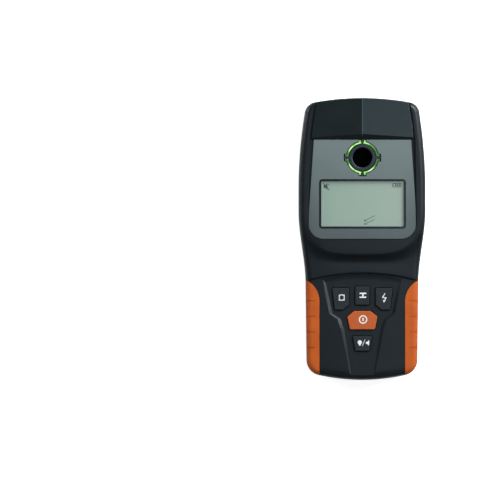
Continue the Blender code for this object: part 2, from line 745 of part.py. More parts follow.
def roof_outline(front_y, side_margin, end_margin, steps=4):
    """The right half of the roof's outline, from its front edge round to the head end's middle."""
    last_y = head_end_y(half_width(HEAD_END) - side_margin) - end_margin
    half = []
    for k in range(steps + 1):
        y = mix(front_y, last_y - end_margin, k / steps)
        half.append((half_width(y) - side_margin, y))
    corner_x = half[-1][0] - end_margin
    for k in range(steps):
        x = corner_x * (1 - k / steps)
        half.append((x, head_end_y(x) - end_margin))
    return half


def roof_mesh():
    """Two sloping planes that meet in a ridge, behind a front that leans back from the plate."""
    plate_top = PLATE_Z + PLATE_THICK
    front_y = PLATE_TOP_Y + ROOF_FRONT_GAP
    front_x = half_width(front_y) - ROOF_SIDE_MARGIN
    ridge_y = front_y + ROOF_FRONT_RUN * (RIDGE_Z - plate_top)
    end_y = head_end_y(0.0) - ROOF_END_MARGIN
    fall = ROOF_END_FALL / (end_y - ridge_y)
    side_rise = RIDGE_Z - ROOF_SIDE_FALL - plate_top + fall * (ridge_y - front_y)
    side_y = front_y + ROOF_FRONT_RUN * side_rise / (1 + fall * ROOF_FRONT_RUN)
    half = roof_outline(side_y, ROOF_SIDE_MARGIN, ROOF_END_MARGIN)
    side_x = half[0][0]

    def height(x, y):
        return RIDGE_Z - ROOF_SIDE_FALL * abs(x) / side_x - fall * (y - ridge_y)

    bm = bmesh.new()
    right = [(front_x, front_y, plate_top)] + [(x, y, height(x, y)) for x, y in half]
    middle = (0.0, end_y, height(0.0, end_y))
    points = right + [middle] + [(-x, y, z) for x, y, z in reversed(right)]
    top = [bm.verts.new(point) for point in points]
    low = [bm.verts.new((x, y, LENS_POCKET_Z)) for x, y, _ in points]
    bridge(bm, low, top)
    bm.faces.new(low)
    ridge = bm.verts.new((0.0, ridge_y, RIDGE_Z))
    count = len(right)
    bm.faces.new([ridge] + top[1:count + 1])
    bm.faces.new([ridge] + top[count:-1])
    bm.faces.new([top[0], top[1], ridge, top[-2], top[-1]])
    return bm


def pocket_outline():
    """The plate's seat with the roof's surround above it, open at the head end."""
    low_y = PLATE_TOP_Y - PLATE_TOP_RADIUS
    right = [(x, y) for x, y in plate_outline(SEAT_GAP) if x > 0 and y < low_y]
    for k in range(BEND_STEPS + 1):
        y = mix(PLATE_TOP_Y, HEAD_END, k / BEND_STEPS)
        right.append((half_width(y) - ROOF_SIDE_MARGIN + ROOF_GROOVE, y))
    right.append((right[-1][0], 2 * HEAD_END))
    return mirrored(right)


def arc_y(x):
    return ARC_Y - ARC_SAG * (x / WAIST_HALF) ** 2


def channel_ring(z, ramp, draft, foot_draft):
    """The keypad channel's outline at one height: an arched top, tapering sides, an open foot."""
    top_x = CHANNEL_TOP_HALF - draft
    foot_x = CHANNEL_TOP_HALF - foot_draft - CHANNEL_FOOT_IN
    right = [(foot_x, 2 * FOOT_END), (foot_x, FOOT_END),
             (top_x - CHANNEL_KNEE_IN, ARC_Y - CHANNEL_KNEE),
             (top_x - CHANNEL_BEND_IN, ARC_Y - CHANNEL_BEND),
             (top_x - CHANNEL_HIP_IN, ARC_Y - CHANNEL_HIP)]
    for k in range(BEND_STEPS):
        x = top_x * (1 - k / BEND_STEPS)
        right.append((x, arc_y(x) - ARC_STEP_RUN * 2 - ramp))
    middle = [(0.0, ARC_Y - ARC_STEP_RUN * 2 - ramp)]
    return [(x, y, z) for x, y in right + middle + [(-x, y) for x, y in reversed(right)]]


def channel_cutter():
    """Its floor is level for the keys, and its arched end is a ramp."""
    rings = [channel_ring(CHANNEL_Z, CHANNEL_RAMP, CHANNEL_DRAFT, CHANNEL_FOOT_DRAFT),
             channel_ring(LAND_Z, 0.0, 0.0, 0.0),
             channel_ring(ABOVE, 0.0, 0.0, 0.0)]
    return lofted(rings)


def key_corners():
    """The five keys' corners, counter-clockwise, by node name."""
    right = [
        (SIDE_KEY_INNER + SIDE_KEY_CUT, ARC_Y - SIDE_KEY_FOOT),
        (SIDE_KEY_OUTER - SIDE_KEY_TAPER, ARC_Y - SIDE_KEY_FOOT),
        (SIDE_KEY_OUTER, ARC_Y - SIDE_KEY_TOP),
        (SIDE_KEY_INNER, ARC_Y - SIDE_KEY_TOP),
        (SIDE_KEY_INNER, ARC_Y - MODE_KEY_FOOT),
    ]
    half = MIDDLE_KEY_WIDTH / 2
    middle = [(half, ARC_Y - MODE_KEY_FOOT), (half, ARC_Y - MODE_KEY_TOP)]
    power = [(POWER_FOOT_WIDTH / 2, ARC_Y - POWER_FOOT), (POWER_MID_WIDTH / 2, ARC_Y - POWER_MID),
             (POWER_TOP_WIDTH / 2, ARC_Y - POWER_TOP)]
    lower = [(LOWER_KEY_FOOT_WIDTH / 2, ARC_Y - LOWER_KEY_FOOT),
             (LOWER_KEY_TOP_WIDTH / 2, ARC_Y - LOWER_KEY_TOP)]
    return {
        "key_left": [(-x, y) for x, y in reversed(right)],
        "key_middle": mirrored(middle),
        "key_right": right,
        "key_power": mirrored(power),
        "key_lower": mirrored(lower),
    }


def key_outline(corners, grow=0.0):
    return rounded(corners, [KEY_CORNER_RADIUS] * len(corners), grow, 2)


def key_mesh(corners):
    """A cap with a softened edge, and a flange that the shell holds it in by."""
    levels = [(KEY_LIP, KEY_Z), (KEY_LIP, KEY_Z + KEY_FLANGE), (0.0, KEY_Z + KEY_FLANGE),
              (0.0, KEY_TOP_Z - KEY_EDGE), (-KEY_EDGE, KEY_TOP_Z)]
    return lofted([[(x, y, z) for x, y in key_outline(corners, grow)] for grow, z in levels])


def middle_of(corners):
    return (sum(x for x, _ in corners) / len(corners), sum(y for _, y in corners) / len(corners))


def grip_outline(side, grow=0.0):
    """The region of one grip seen from the front, past the body's side and foot."""
    centre_x = GRIP_INNER_HALF + GRIP_TIP_RADIUS
    centre_y = ARC_Y - GRIP_TIP_CENTRE
    outer_x = HEAD_WIDTH
    outline = [(GRIP_INNER_HALF - grow, 2 * FOOT_END)]
    for k in range(BEND_STEPS + 1):
        a = math.pi * (1 - 0.45 * k / BEND_STEPS)
        outline.append((centre_x + (GRIP_TIP_RADIUS + grow) * math.cos(a),
                        centre_y + (GRIP_TIP_RADIUS + grow) * math.sin(a)))
    outline += [(outer_x, outline[-1][1]), (outer_x, 2 * FOOT_END)]
    return [(side * x, y) for x, y in outline]


def screw_places():
    head_y = HEAD_END - HEAD_SCREW_FROM_HEAD
    foot_y = FOOT_END + FOOT_SCREW_FROM_FOOT
    return [(-HEAD_SCREW_HALF, head_y), (HEAD_SCREW_HALF, head_y),
            (-FOOT_SCREW_HALF, foot_y), (FOOT_SCREW_HALF, foot_y)]


def pad_places():
    """Centre of each glide and whether it lies across the body."""
    head_x = HEAD_WIDTH / 2 - HEAD_PAD_INSET
    head_y = HEAD_END - HEAD_PAD_FROM_HEAD
    foot_x = FOOT_HALF - FOOT_PAD_INSET
    foot_y = FOOT_END + FOOT_PAD_FROM_FOOT
    return [(-head_x, head_y, True), (head_x, head_y, True),
            (-foot_x, foot_y, False), (foot_x, foot_y, False)]


def pad_outline(place, grow=0.0):
    x, y, across = place
    long, short = PAD_LENGTH / 2, PAD_WIDTH / 2
    dx, dy = (long, short) if across else (short, long)
    corners = [(x - dx, y - dy), (x + dx, y - dy), (x + dx, y + dy), (x - dx, y + dy)]
    return rounded(corners, [short] * 4, grow, 3)


def build_grips(rows, skin, shell):
    """Both grips, and the recesses that they fill in the front shell."""
    low = SEAM_HEIGHT + GRIP_ABOVE_SEAM
    for name, side in (("left_grip", -1), ("right_grip", 1)):
        bm = body_blank(rows, 0.0, 0.0, SEAM_HEIGHT)
        grip = add_object(name, bm, skin)
        region = add_object(name + "_region", prism(grip_outline(side), low, ABOVE))
        core = add_object(name + "_core", body_blank(rows, GRIP_THICK, GRIP_THICK, BELOW))
        combine(grip, region, "INTERSECT")
        combine(grip, core, "DIFFERENCE")
        combine(grip, groove_cutter(rows, name, side, low), "DIFFERENCE")
        recess = add_object(name + "_recess", prism(grip_outline(side, SEAT_GAP), low - SEAT_GAP, ABOVE))
        deep = GRIP_THICK + SEAT_GAP
        deep_core = add_object(name + "_deep_core", body_blank(rows, deep, deep, BELOW))
        combine(recess, deep_core, "DIFFERENCE")
        combine(shell, recess, "DIFFERENCE", "MANIFOLD")


def groove_cutter(rows, name, side, low):
    """Four short bars across the outer part of a grip that reach a little under its skin."""
    bm = bmesh.new()
    for k in range(GROOVES):
        y = ARC_Y - FIRST_GROOVE - GROOVE_PITCH * k
        ends = sorted((side * (WAIST_HALF - GROOVE_REACH), side * HEAD_WIDTH))
        bar = box(ends[0], ends[1], y - GROOVE_WIDTH / 2, y + GROOVE_WIDTH / 2,
                  low + GROOVE_LOWEST, ABOVE)
        scratch = bpy.data.meshes.new("bar")
        bar.to_mesh(scratch)
        bar.free()
        bm.from_mesh(scratch)
    bars = add_object(name + "_grooves", bm)
    core = add_object(name + "_groove_core", body_blank(rows, GROOVE_DEPTH, GROOVE_DEPTH, BELOW))
    combine(bars, core, "DIFFERENCE")
    return bars


def build_front_shell(rows, skins):
    shell = add_object("front_shell", front_shell_mesh(rows), skins["body"])
    for x, y in screw_places():
        top = HEAD_CEILING_Z if y > ARC_Y else GRIP_CEILING_Z
        boss = cylinder(x, y, BOSS_RADIUS, POST_TOP + SEAT_GAP, top + SEAT_GAP, 16)
        combine(shell, add_object("screw_boss", boss), "UNION")
    pocket = prism(pocket_outline(), SEAT_Z, ABOVE)
    combine(shell, add_object("plate_pocket", pocket), "DIFFERENCE")
    combine(shell, add_object("roof", roof_mesh()), "UNION")
    combine(shell, add_object("channel", channel_cutter()), "DIFFERENCE")
    lens = window_outline(WINDOW_WIDTH, WINDOW_TOP_Y, WINDOW_FOOT_Y, WINDOW_RADIUS, LENS_FLANGE)
    combine(shell, add_object("lens_pocket", prism(lens, LENS_POCKET_Z, SEAT_Z + SEAT_GAP)), "DIFFERENCE")
    display = display_outline(SEAT_GAP)
    combine(shell, add_object("display_opening", prism(display, GRIP_CEILING_Z, ABOVE)), "DIFFERENCE")
    hole = cylinder(0.0, HOLE_Y, RING_OUTER_RADIUS + SEAT_GAP, GRIP_CEILING_Z, ABOVE)
    combine(shell, add_object("ring_opening", hole), "DIFFERENCE")
    for name, corners in key_corners().items():
        opening = prism(key_outline(corners, KEY_CLEARANCE), KEY_Z, ABOVE)
        combine(shell, add_object(name + "_opening", opening), "DIFFERENCE")
    for x, y in screw_places():
        tip = screw_start() + SCREW_LENGTH + PILOT_MARGIN
        pilot = cylinder(x, y, SCREW_RADIUS + SEAT_GAP, BELOW, tip, 12)
        combine(shell, add_object("pilot_hole", pilot), "DIFFERENCE")
    return shell


def display_outline(grow=0.0):
    width = WINDOW_WIDTH - 2 * DISPLAY_MARGIN
    return window_outline(width, WINDOW_TOP_Y - DISPLAY_MARGIN, WINDOW_FOOT_Y + DISPLAY_MARGIN,
                          DISPLAY_RADIUS, grow)


def screw_start():
    """Height of the underside of the screws' heads, which rest on the ledges in their wells."""
    return POST_TOP - WELL_LEDGE - SEAT_GAP


def cover_profile(grow):
    """The battery cover's section: a slab with a lip along each side, as (x, z) points."""
    outer = COVER_HALF + grow
    lip = COVER_LIP_HALF + grow
    low_z = COVER_TOP_Z - COVER_LIP_THICK - grow
    high_z = COVER_TOP_Z + grow
    right = [(outer, BELOW), (outer, low_z), (lip, low_z), (lip, high_z)]
    return mirrored(right)


def cover_block(grow):
    """The cover's section drawn along the body, past its foot."""
    high_y = BOX_END_Y - SEAT_GAP + grow
    rings = [[(x, y, z) for x, z in cover_profile(grow)] for y in (2 * FOOT_END, high_y)]
    return lofted(rings)


def build_rear_shell(rows, skins):
    shell = add_object("rear_shell", rear_shell_mesh(rows), skins["body"])
    sunk_z = BACK_Z + SHELL_WALL / 2
    box_half = BOX_HALF + BOX_SIDE_WALL
    box_end = BOX_END_Y + BOX_SIDE_WALL
    battery_box = box(-box_half, box_half, BOX_FOOT_Y - BOX_WALL, box_end, sunk_z, BOX_TOP_Z)
    combine(shell, add_object("battery_box", battery_box), "UNION")
    rail_half = COVER_LIP_HALF + SEAT_GAP + RAIL_WALL
    rails = box(-rail_half, rail_half, FOOT_END + SHELL_WALL, box_end, sunk_z, COVER_TOP_Z + RAIL_HEIGHT)
    combine(shell, add_object("cover_rails", rails), "UNION")
    posts = [(x, y, WELL_POST_RADIUS, POST_TOP) for x, y in screw_places()]
    board_x, board_y = BOARD_HEAD_HALF - BOARD_POST_INSET, PLATE_FOOT_Y + BOARD_POST_ABOVE_WAIST
    sensor_x = SENSOR_BOARD_HALF - SENSOR_POST_SIDE_INSET
    sensor_foot, sensor_top = sensor_board_ends()
    for side in (-1, 1):
        posts.append((side * board_x, board_y, BOARD_POST_RADIUS, BOX_TOP_Z))
        for y in (sensor_top - SENSOR_POST_END_INSET, sensor_foot + SENSOR_POST_END_INSET):
            posts.append((side * sensor_x, y, SENSOR_POST_RADIUS, FLOOR_Z + SENSOR_POST_HEIGHT))
    for x, y, radius, top in posts:
        combine(shell, add_object("post", cylinder(x, y, radius, sunk_z, top, 16)), "UNION")
    cavity = box(-BOX_HALF, BOX_HALF, BOX_FOOT_Y, BOX_END_Y, COVER_TOP_Z, BOX_INNER_Z)
    combine(shell, add_object("battery_cavity", cavity), "DIFFERENCE")
    combine(shell, add_object("cover_way", cover_block(SEAT_GAP)), "DIFFERENCE", "MANIFOLD")
    slot_half = WIRE_SPACING / 2 + 3 * WIRE_RADIUS
    slot = box(-slot_half, slot_half, BOX_END_Y - SEAT_GAP, box_end + SEAT_GAP,
               BATTERY_MID_Z - 3 * WIRE_RADIUS, BATTERY_MID_Z + 3 * WIRE_RADIUS)
    combine(shell, add_object("wire_slot", slot), "DIFFERENCE")
    sleeve_way = cylinder(0.0, HOLE_Y, SLEEVE_HOLE_RADIUS, BELOW, ABOVE)
    combine(shell, add_object("sleeve_way", sleeve_way), "DIFFERENCE")
    for x, y in screw_places():
        hole = SCREW_RADIUS + SEAT_GAP
        ledge = POST_TOP - WELL_LEDGE
        levels = [(WELL_RADIUS, BELOW), (WELL_RADIUS, ledge), (hole, ledge), (hole, ABOVE)]
        combine(shell, add_object("screw_well", stacked(x, y, levels, 16)), "DIFFERENCE")
    for place in pad_places():
        seat = prism(pad_outline(place, SEAT_GAP), BELOW, BACK_Z + PAD_SINK)
        combine(shell, add_object("pad_seat", seat), "DIFFERENCE")
    return shell


def build_cover(rows, skins):
    """The part of the back's skin inside the cover's section, with thumb grooves near its foot."""
    bm = bmesh.new()
    rings = back_rings(rows)
    loops = [[bm.verts.new(point) for point in ring] for ring in rings]
    for lower, upper in zip(loops, loops[1:]):
        bridge(bm, lower, upper)
    cover_face(bm, loops[0], rows, 1, middle=False)
    cover_face(bm, loops[-1], rows, 1, middle=False)
    cover = add_object("battery_cover", bm, skins["body"], (0.0, BOX_END_Y, COVER_TOP_Z))
    combine(cover, add_object("cover_section", cover_block(0.0)), "INTERSECT", "MANIFOLD")
    for k in range(THUMB_GROOVES):
        y = FOOT_END + THUMB_FROM_FOOT + THUMB_PITCH * k
        half = THUMB_WIDTH / 2
        groove = box(-half, half, y - THUMB_DEPTH, y + THUMB_DEPTH, BELOW, BACK_Z + THUMB_DEPTH)
        combine(cover, add_object("thumb_groove", groove), "DIFFERENCE")


def build_face(skins):
    """The plate, the lens, and the display on its frame."""
    plate = add_object("face_plate", prism(plate_outline(), PLATE_Z, PLATE_Z + PLATE_THICK), skins["plate"])
    opening = window_outline(WINDOW_WIDTH, WINDOW_TOP_Y, WINDOW_FOOT_Y, WINDOW_RADIUS)
    combine(plate, add_object("window_opening", prism(opening, BELOW, ABOVE)), "DIFFERENCE")
    around_ring = cylinder(0.0, HOLE_Y, RING_OUTER_RADIUS + PLATE_HOLE_CLEARANCE, BELOW, ABOVE)
    combine(plate, add_object("plate_ring_hole", around_ring), "DIFFERENCE")
    notch_half = hook_half() + PLATE_HOLE_CLEARANCE
    notch_reach = COLLAR_ARM_REACH + SEAT_GAP
    notches = prism(plus_outline(notch_half, notch_reach, HOLE_Y), BELOW, ABOVE)
    combine(plate, add_object("plate_notches", notches), "DIFFERENCE")

    def lens_ring(grow, z):
        points = window_outline(WINDOW_WIDTH, WINDOW_TOP_Y, WINDOW_FOOT_Y, WINDOW_RADIUS, grow)
        return [(x, y, z) for x, y in points]

    flange = LENS_FLANGE - SEAT_GAP
    flange_top = LENS_Z + LENS_FLANGE_THICK
    lens_top = PLATE_Z + PLATE_THICK - LENS_SUNK
    lens = lofted([lens_ring(flange, LENS_Z), lens_ring(flange, flange_top),
                   lens_ring(-SEAT_GAP, flange_top), lens_ring(-SEAT_GAP, lens_top)])
    add_object("lcd_window", lens, skins["lens"])

    display_z = DISPLAY_TOP_Z - DISPLAY_THICK
    add_object("lcd_panel", prism(display_outline(), display_z, DISPLAY_TOP_Z), skins["display"])
    tray = prism(display_outline(), PARTS_Z, display_z - SEAT_GAP)
    frame = add_object("lcd_frame", tray, skins["white"])
    width = WINDOW_WIDTH - 2 * (DISPLAY_MARGIN + FRAME_WALL)
    hollow = window_outline(width, WINDOW_TOP_Y - DISPLAY_MARGIN - FRAME_WALL,
                            WINDOW_FOOT_Y + DISPLAY_MARGIN + FRAME_WALL, DISPLAY_RADIUS)
    combine(frame, add_object("tray_hollow", prism(hollow, PARTS_Z + FRAME_FLOOR, ABOVE)), "DIFFERENCE")


def hook_half():
    """Half the width across a pair of hooks, which flank an arm of the collar."""
    return COLLAR_ARM_WIDTH / 2 + SEAT_GAP + RING_HOOK_WIDTH


def build_marking_hole(skins):
    """The collar's sleeve and arms, and the clear ring that the arms divide into four arcs."""
    top = PLATE_Z + PLATE_THICK - COLLAR_SUNK
    disc_z = top - COLLAR_DISC_THICK
    levels = [(SLEEVE_RADIUS, BACK_Z), (SLEEVE_RADIUS, disc_z),
              (COLLAR_DISC_RADIUS, disc_z), (COLLAR_DISC_RADIUS, top)]
    collar = add_object("marking_collar", stacked(0.0, HOLE_Y, levels), skins["collar"])
    arms = prism(plus_outline(COLLAR_ARM_WIDTH / 2, COLLAR_ARM_REACH, HOLE_Y), PLATE_Z, top - COLLAR_SUNK)
    combine(collar, add_object("collar_arms", arms), "UNION")
    bore = [(BORE_RADIUS, BELOW), (BORE_RADIUS, top - BORE_CHAMFER),
            (BORE_RADIUS + BORE_CHAMFER, top), (BORE_RADIUS + BORE_CHAMFER, ABOVE)]
    combine(collar, add_object("bore", stacked(0.0, HOLE_Y, bore)), "DIFFERENCE")

    tube_z = PARTS_Z + LED_HEIGHT + SEAT_GAP
    levels = [(RING_OUTER_RADIUS, tube_z), (RING_OUTER_RADIUS, top - COLLAR_SUNK)]
    ring = add_object("light_ring", stacked(0.0, HOLE_Y, levels), skins["light"])
    hooks = prism(plus_outline(hook_half(), RING_HOOK_REACH, HOLE_Y), PLATE_Z, top - 2 * COLLAR_SUNK)
    combine(ring, add_object("ring_hooks", hooks), "UNION")
    slot_half = COLLAR_ARM_WIDTH / 2 + SEAT_GAP
    slots = prism(plus_outline(slot_half, 2 * COLLAR_ARM_REACH, HOLE_Y), SEAT_Z, ABOVE)
    combine(ring, add_object("ring_slots", slots), "DIFFERENCE")
    inside = cylinder(0.0, HOLE_Y, RING_INNER_RADIUS, BELOW, ABOVE)
    combine(ring, add_object("ring_inside", inside), "DIFFERENCE")


def build_keys(skins):
    """Each key slides straight in; its origin lies on the middle of its base."""
    for name, corners in key_corners().items():
        x, y = middle_of(corners)
        skin = skins["orange_key"] if name == "key_power" else skins["key"]
        add_object(name, key_mesh(corners), skin, (x, y, KEY_Z))
        add_object(name.replace("key", "switch"), switch_mesh(x, y), skins["switch"])


def switch_mesh(x, y):
    half = SWITCH_SIZE / 2
    bm = box(x - half, x + half, y - half, y + half, PARTS_Z, PARTS_Z + SWITCH_BODY)
    top = max(bm.faces, key=lambda face: face.calc_center_median().z)
    bmesh.ops.inset_region(bm, faces=[top], thickness=SWITCH_PLUNGER_MARGIN)
    raised = bmesh.ops.extrude_face_region(bm, geom=[top])
    verts = [item for item in raised["geom"] if isinstance(item, bmesh.types.BMVert)]
    bmesh.ops.translate(bm, verts=verts, vec=(0.0, 0.0, SWITCH_PLUNGER))
    bmesh.ops.delete(bm, geom=[top], context="FACES")
    return bm


def build_screws(skins):
    for k, (x, y) in enumerate(screw_places(), 1):
        start = screw_start()
        head = start - SCREW_HEAD_HEIGHT
        tip = start + SCREW_LENGTH
        levels = [(SCREW_HEAD_RADIUS * 0.8, head), (SCREW_HEAD_RADIUS, head + SCREW_HEAD_HEIGHT * 0.4),
                  (SCREW_HEAD_RADIUS, start), (SCREW_RADIUS, start),
                  (SCREW_RADIUS, tip - SCREW_POINT), (SCREW_RADIUS * 0.3, tip)]
        screw = add_object(f"screw_{k}", stacked(0.0, 0.0, levels, 14), skins["steel"])
        slot = plus_outline(SCREW_HEAD_RADIUS * 0.14, SCREW_HEAD_RADIUS * 0.6, 0.0)
        cross = add_object("cross_slot", prism(slot, BELOW, head + SCREW_HEAD_HEIGHT * 0.45))
        combine(screw, cross, "DIFFERENCE")
        for placed in (screw, cross):
            placed.location = (x, y, 0.0)


def build_pads(skins):
    for k, place in enumerate(pad_places(), 1):
        pad = prism(pad_outline(place), 0.0, BACK_Z + PAD_SINK - SEAT_GAP)
        add_object(f"glide_pad_{k}", pad, skins["felt"])


def build_battery(skins):
    """A nine-volt block with its two terminals, in the terminal block that feeds the board."""
    half = BATTERY_WIDTH / 2
    corners = [(-half, BATTERY_Z), (half, BATTERY_Z), (half, BATTERY_Z + BATTERY_DEPTH),
               (-half, BATTERY_Z + BATTERY_DEPTH)]
    section = rounded(corners, [BATTERY_EDGE] * 4, 0.0, 3)
    body = lofted([[(x, y, z) for x, z in section] for y in (BATTERY_FOOT_Y, BATTERY_TOP_Y)])
    battery = add_object("battery", body, skins["battery"])
    block_z = (BATTERY_MID_Z - SNAP_HEIGHT / 2, BATTERY_MID_Z + SNAP_HEIGHT / 2)
    block_half = BOX_HALF - SEAT_GAP
    block = box(-block_half, block_half, SNAP_Y, SNAP_Y + SNAP_THICK, *block_z)
    snap = add_object("battery_snap", block, skins["black"])
    for side, radius in ((-1, STUD_RADIUS), (1, SOCKET_RADIUS)):
        x = side * TERMINAL_SPACING / 2
        stud = along_y(x, radius, BATTERY_TOP_Y - SEAT_GAP, BATTERY_TOP_Y + TERMINAL_HEIGHT)
        combine(battery, add_object("terminal", stud), "UNION")
        hole_end = BATTERY_TOP_Y + TERMINAL_HEIGHT + SEAT_GAP
        hole = along_y(x, radius + SEAT_GAP, SNAP_Y - SEAT_GAP, hole_end)
        combine(snap, add_object("terminal_hole", hole), "DIFFERENCE")


def along_y(x, radius, low, high, steps=16):
    """A round bar along the body at the height of the battery's middle."""
    ring = circle(x, BATTERY_MID_Z, radius, steps)
    return lofted([[(px, y, pz) for px, pz in ring] for y in (low, high)])


def build_wires(skins):
    """Two leads from the terminal block through the box's slot, bent up to the board."""
    start_y = BOX_END_Y
    for name, side in (("wire_positive", -1), ("wire_negative", 1)):
        x = side * WIRE_SPACING / 2
        turn_y = start_y + WIRE_REACH
        top_z = BOARD_Z - SEAT_GAP
        points = [(x, start_y, BATTERY_MID_Z), (x, turn_y - WIRE_BEND, BATTERY_MID_Z)]
        for k in range(1, 6):
            a = math.pi / 2 * k / 6
            points.append((x, turn_y - WIRE_BEND + WIRE_BEND * math.sin(a),
                           BATTERY_MID_Z + WIRE_BEND * (1 - math.cos(a))))
        points += [(x, turn_y, BATTERY_MID_Z + WIRE_BEND), (x, turn_y, top_z)]
        curve = bpy.data.curves.new(name, "CURVE")
        curve.dimensions = "3D"
        curve.bevel_depth = WIRE_RADIUS
        curve.bevel_resolution = 2
        curve.use_fill_caps = True
        line = curve.splines.new("POLY")
        line.points.add(len(points) - 1)
        for point, place in zip(line.points, points):
            point.co = (*place, 1.0)
        curve.materials.append(skins["red"] if side < 0 else skins["black"])
        made = bpy.data.objects.new(name, curve)
        bpy.context.scene.collection.objects.link(made)


def build_boards(skins):
    """The main board with its parts, and the search coil's board on the floor of the head."""
    right = [(BOARD_GRIP_HALF, FOOT_END + BOARD_FROM_FOOT),
             (BOARD_GRIP_HALF, PLATE_FOOT_Y - BOARD_SHOULDER), (BOARD_HEAD_HALF, PLATE_FOOT_Y),
             (BOARD_HEAD_HALF, PLATE_TOP_Y + BOARD_ABOVE_PLATE)]
    corners = mirrored(right)
    outline = board_outline(corners)
    board = add_object("main_board", prism(outline, BOARD_Z, BOARD_TOP_Z), skins["board"])
    way = cylinder(0.0, HOLE_Y, SLEEVE_HOLE_RADIUS, BELOW, ABOVE)
    combine(board, add_object("board_hole", way), "DIFFERENCE")

    foot_y, top_y = sensor_board_ends()
    half = SENSOR_BOARD_HALF
    corners = [(-half, foot_y), (half, foot_y), (half, top_y), (-half, top_y)]
    sheet = prism(rounded(corners, [BOARD_RADIUS * 2] * 4), SENSOR_BOARD_Z, SENSOR_BOARD_Z + BOARD_THICK)
    sensor = add_object("sensor_board", sheet, skins["board"])
    way = cylinder(0.0, HOLE_Y, SLEEVE_HOLE_RADIUS, BELOW, ABOVE)
    combine(sensor, add_object("sensor_hole", way), "DIFFERENCE")

    inner, outer, low = BOBBIN_INNER_RADIUS, BOBBIN_OUTER_RADIUS, BOBBIN_Z
    high = low + BOBBIN_HEIGHT
    core = inner + BOBBIN_FLANGE
    profile = [(inner, low), (outer, low), (outer, low + BOBBIN_FLANGE), (core, low + BOBBIN_FLANGE),
               (core, high - BOBBIN_FLANGE), (outer, high - BOBBIN_FLANGE), (outer, high), (inner, high)]
    add_object("coil_bobbin", turned(profile, 0.0, HOLE_Y, 36), skins["bobbin"])
    coil_in, coil_out = core + SEAT_GAP, outer - COIL_MARGIN
    coil_low, coil_high = low + BOBBIN_FLANGE + SEAT_GAP, high - BOBBIN_FLANGE - SEAT_GAP
    cut = COIL_MARGIN
    profile = [(coil_in, coil_low), (coil_out - cut, coil_low), (coil_out, coil_low + cut),
               (coil_out, coil_high - cut), (coil_out - cut, coil_high), (coil_in, coil_high)]
    add_object("sensor_coil", turned(profile, 0.0, HOLE_Y, 36), skins["copper"])

    for k in range(4):
        a = math.radians(45 + 90 * k)
        radius = (RING_INNER_RADIUS + RING_OUTER_RADIUS) / 2
        x, y = radius * math.cos(a), HOLE_Y + radius * math.sin(a)
        half = LED_SIZE / 2
        led = box(x - half, x + half, y - half, y + half, PARTS_Z, PARTS_Z + LED_HEIGHT)
        add_object(f"led_{k + 1}", led, skins["led"])
    half, y = CHIP_SIZE / 2, ARC_Y + CHIP_ABOVE_ARC
    chip = box(-half, half, y - half, y + half, PARTS_Z, PARTS_Z + CHIP_HEIGHT)
    add_object("processor", chip, skins["black"])
    y = ARC_Y + BUZZER_ABOVE_ARC
    top = BOARD_Z - SEAT_GAP
    x = BUZZER_INSET - BOARD_GRIP_HALF
    sounder = cylinder(x, y, BUZZER_RADIUS, top - BUZZER_HEIGHT, top, 24)
    add_object("buzzer", sounder, skins["black"])


def sensor_board_ends():
    top_y = HEAD_END - SENSOR_BOARD_FROM_HEAD
    return top_y - SENSOR_BOARD_LENGTH, top_y


def board_outline(corners):
    """The board's outer corners are rounded, and those of its shoulders are left sharp."""
    outline = []
    count = len(corners)
    for i, (x, y) in enumerate(corners):
        before, after = corners[i - 1], corners[(i + 1) % count]
        if i in (0, 3, 4, 7):
            for other in (before, after):
                run = math.hypot(other[0] - x, other[1] - y)
                outline.append((mix(x, other[0], BOARD_RADIUS / run), mix(y, other[1], BOARD_RADIUS / run)))
        else:
            outline.append((x, y))
    return outline


def main():
    clear_scene()
    skins = {
        "body": new_material("body_black", (0.014, 0.018, 0.021), 0.42),
        "plate": new_material("plate_grey", (0.16, 0.205, 0.21), 0.38, 0.15),
        "lens": new_material("clear_lens", (0.85, 0.9, 0.88), 0.05, 0.0, 0.25),
        "display": new_material("display_glass", (0.30, 0.40, 0.33), 0.25),
        "white": new_material("white_plastic", (0.75, 0.76, 0.74), 0.5),
        "collar": new_material("collar_black", (0.02, 0.022, 0.026), 0.35),
        "light": new_material("light_green", (0.35, 0.85, 0.12), 0.2),
        "key": new_material("key_black", (0.03, 0.036, 0.042), 0.6),
        "orange_key": new_material("key_orange", (0.52, 0.13, 0.035), 0.55),
        "orange": new_material("grip_orange", (0.50, 0.115, 0.02), 0.6),
        "switch": new_material("switch_steel", (0.6, 0.6, 0.6), 0.35, 0.8),
        "steel": new_material("screw_steel", (0.32, 0.32, 0.33), 0.35, 1.0),
        "felt": new_material("felt_grey", (0.05, 0.05, 0.055), 0.95),
        "battery": new_material("battery_blue", (0.03, 0.06, 0.16), 0.35, 0.3),
        "black": new_material("plastic_black", (0.02, 0.02, 0.02), 0.5),
        "red": new_material("wire_red", (0.5, 0.02, 0.02), 0.5),
        "board": new_material("board_green", (0.02, 0.12, 0.04), 0.4),
        "bobbin": new_material("bobbin_cream", (0.6, 0.56, 0.45), 0.5),
        "copper": new_material("copper_wire", (0.62, 0.22, 0.08), 0.3, 1.0),
        "led": new_material("led_clear", (0.7, 0.95, 0.6), 0.2),
    }
    rows = body_rows()
    shell = build_front_shell(rows, skins)
    build_grips(rows, skins["orange"], shell)
    build_rear_shell(rows, skins)
    build_cover(rows, skins)
    build_face(skins)
    build_marking_hole(skins)
    build_keys(skins)
    build_screws(skins)
    build_pads(skins)
    build_battery(skins)
    build_wires(skins)
    build_boards(skins)


main()
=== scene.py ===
from math import asin, atan2, cos, dist, hypot, pi, radians, sin, sqrt

import bmesh
import bpy
from mathutils import Matrix, Vector


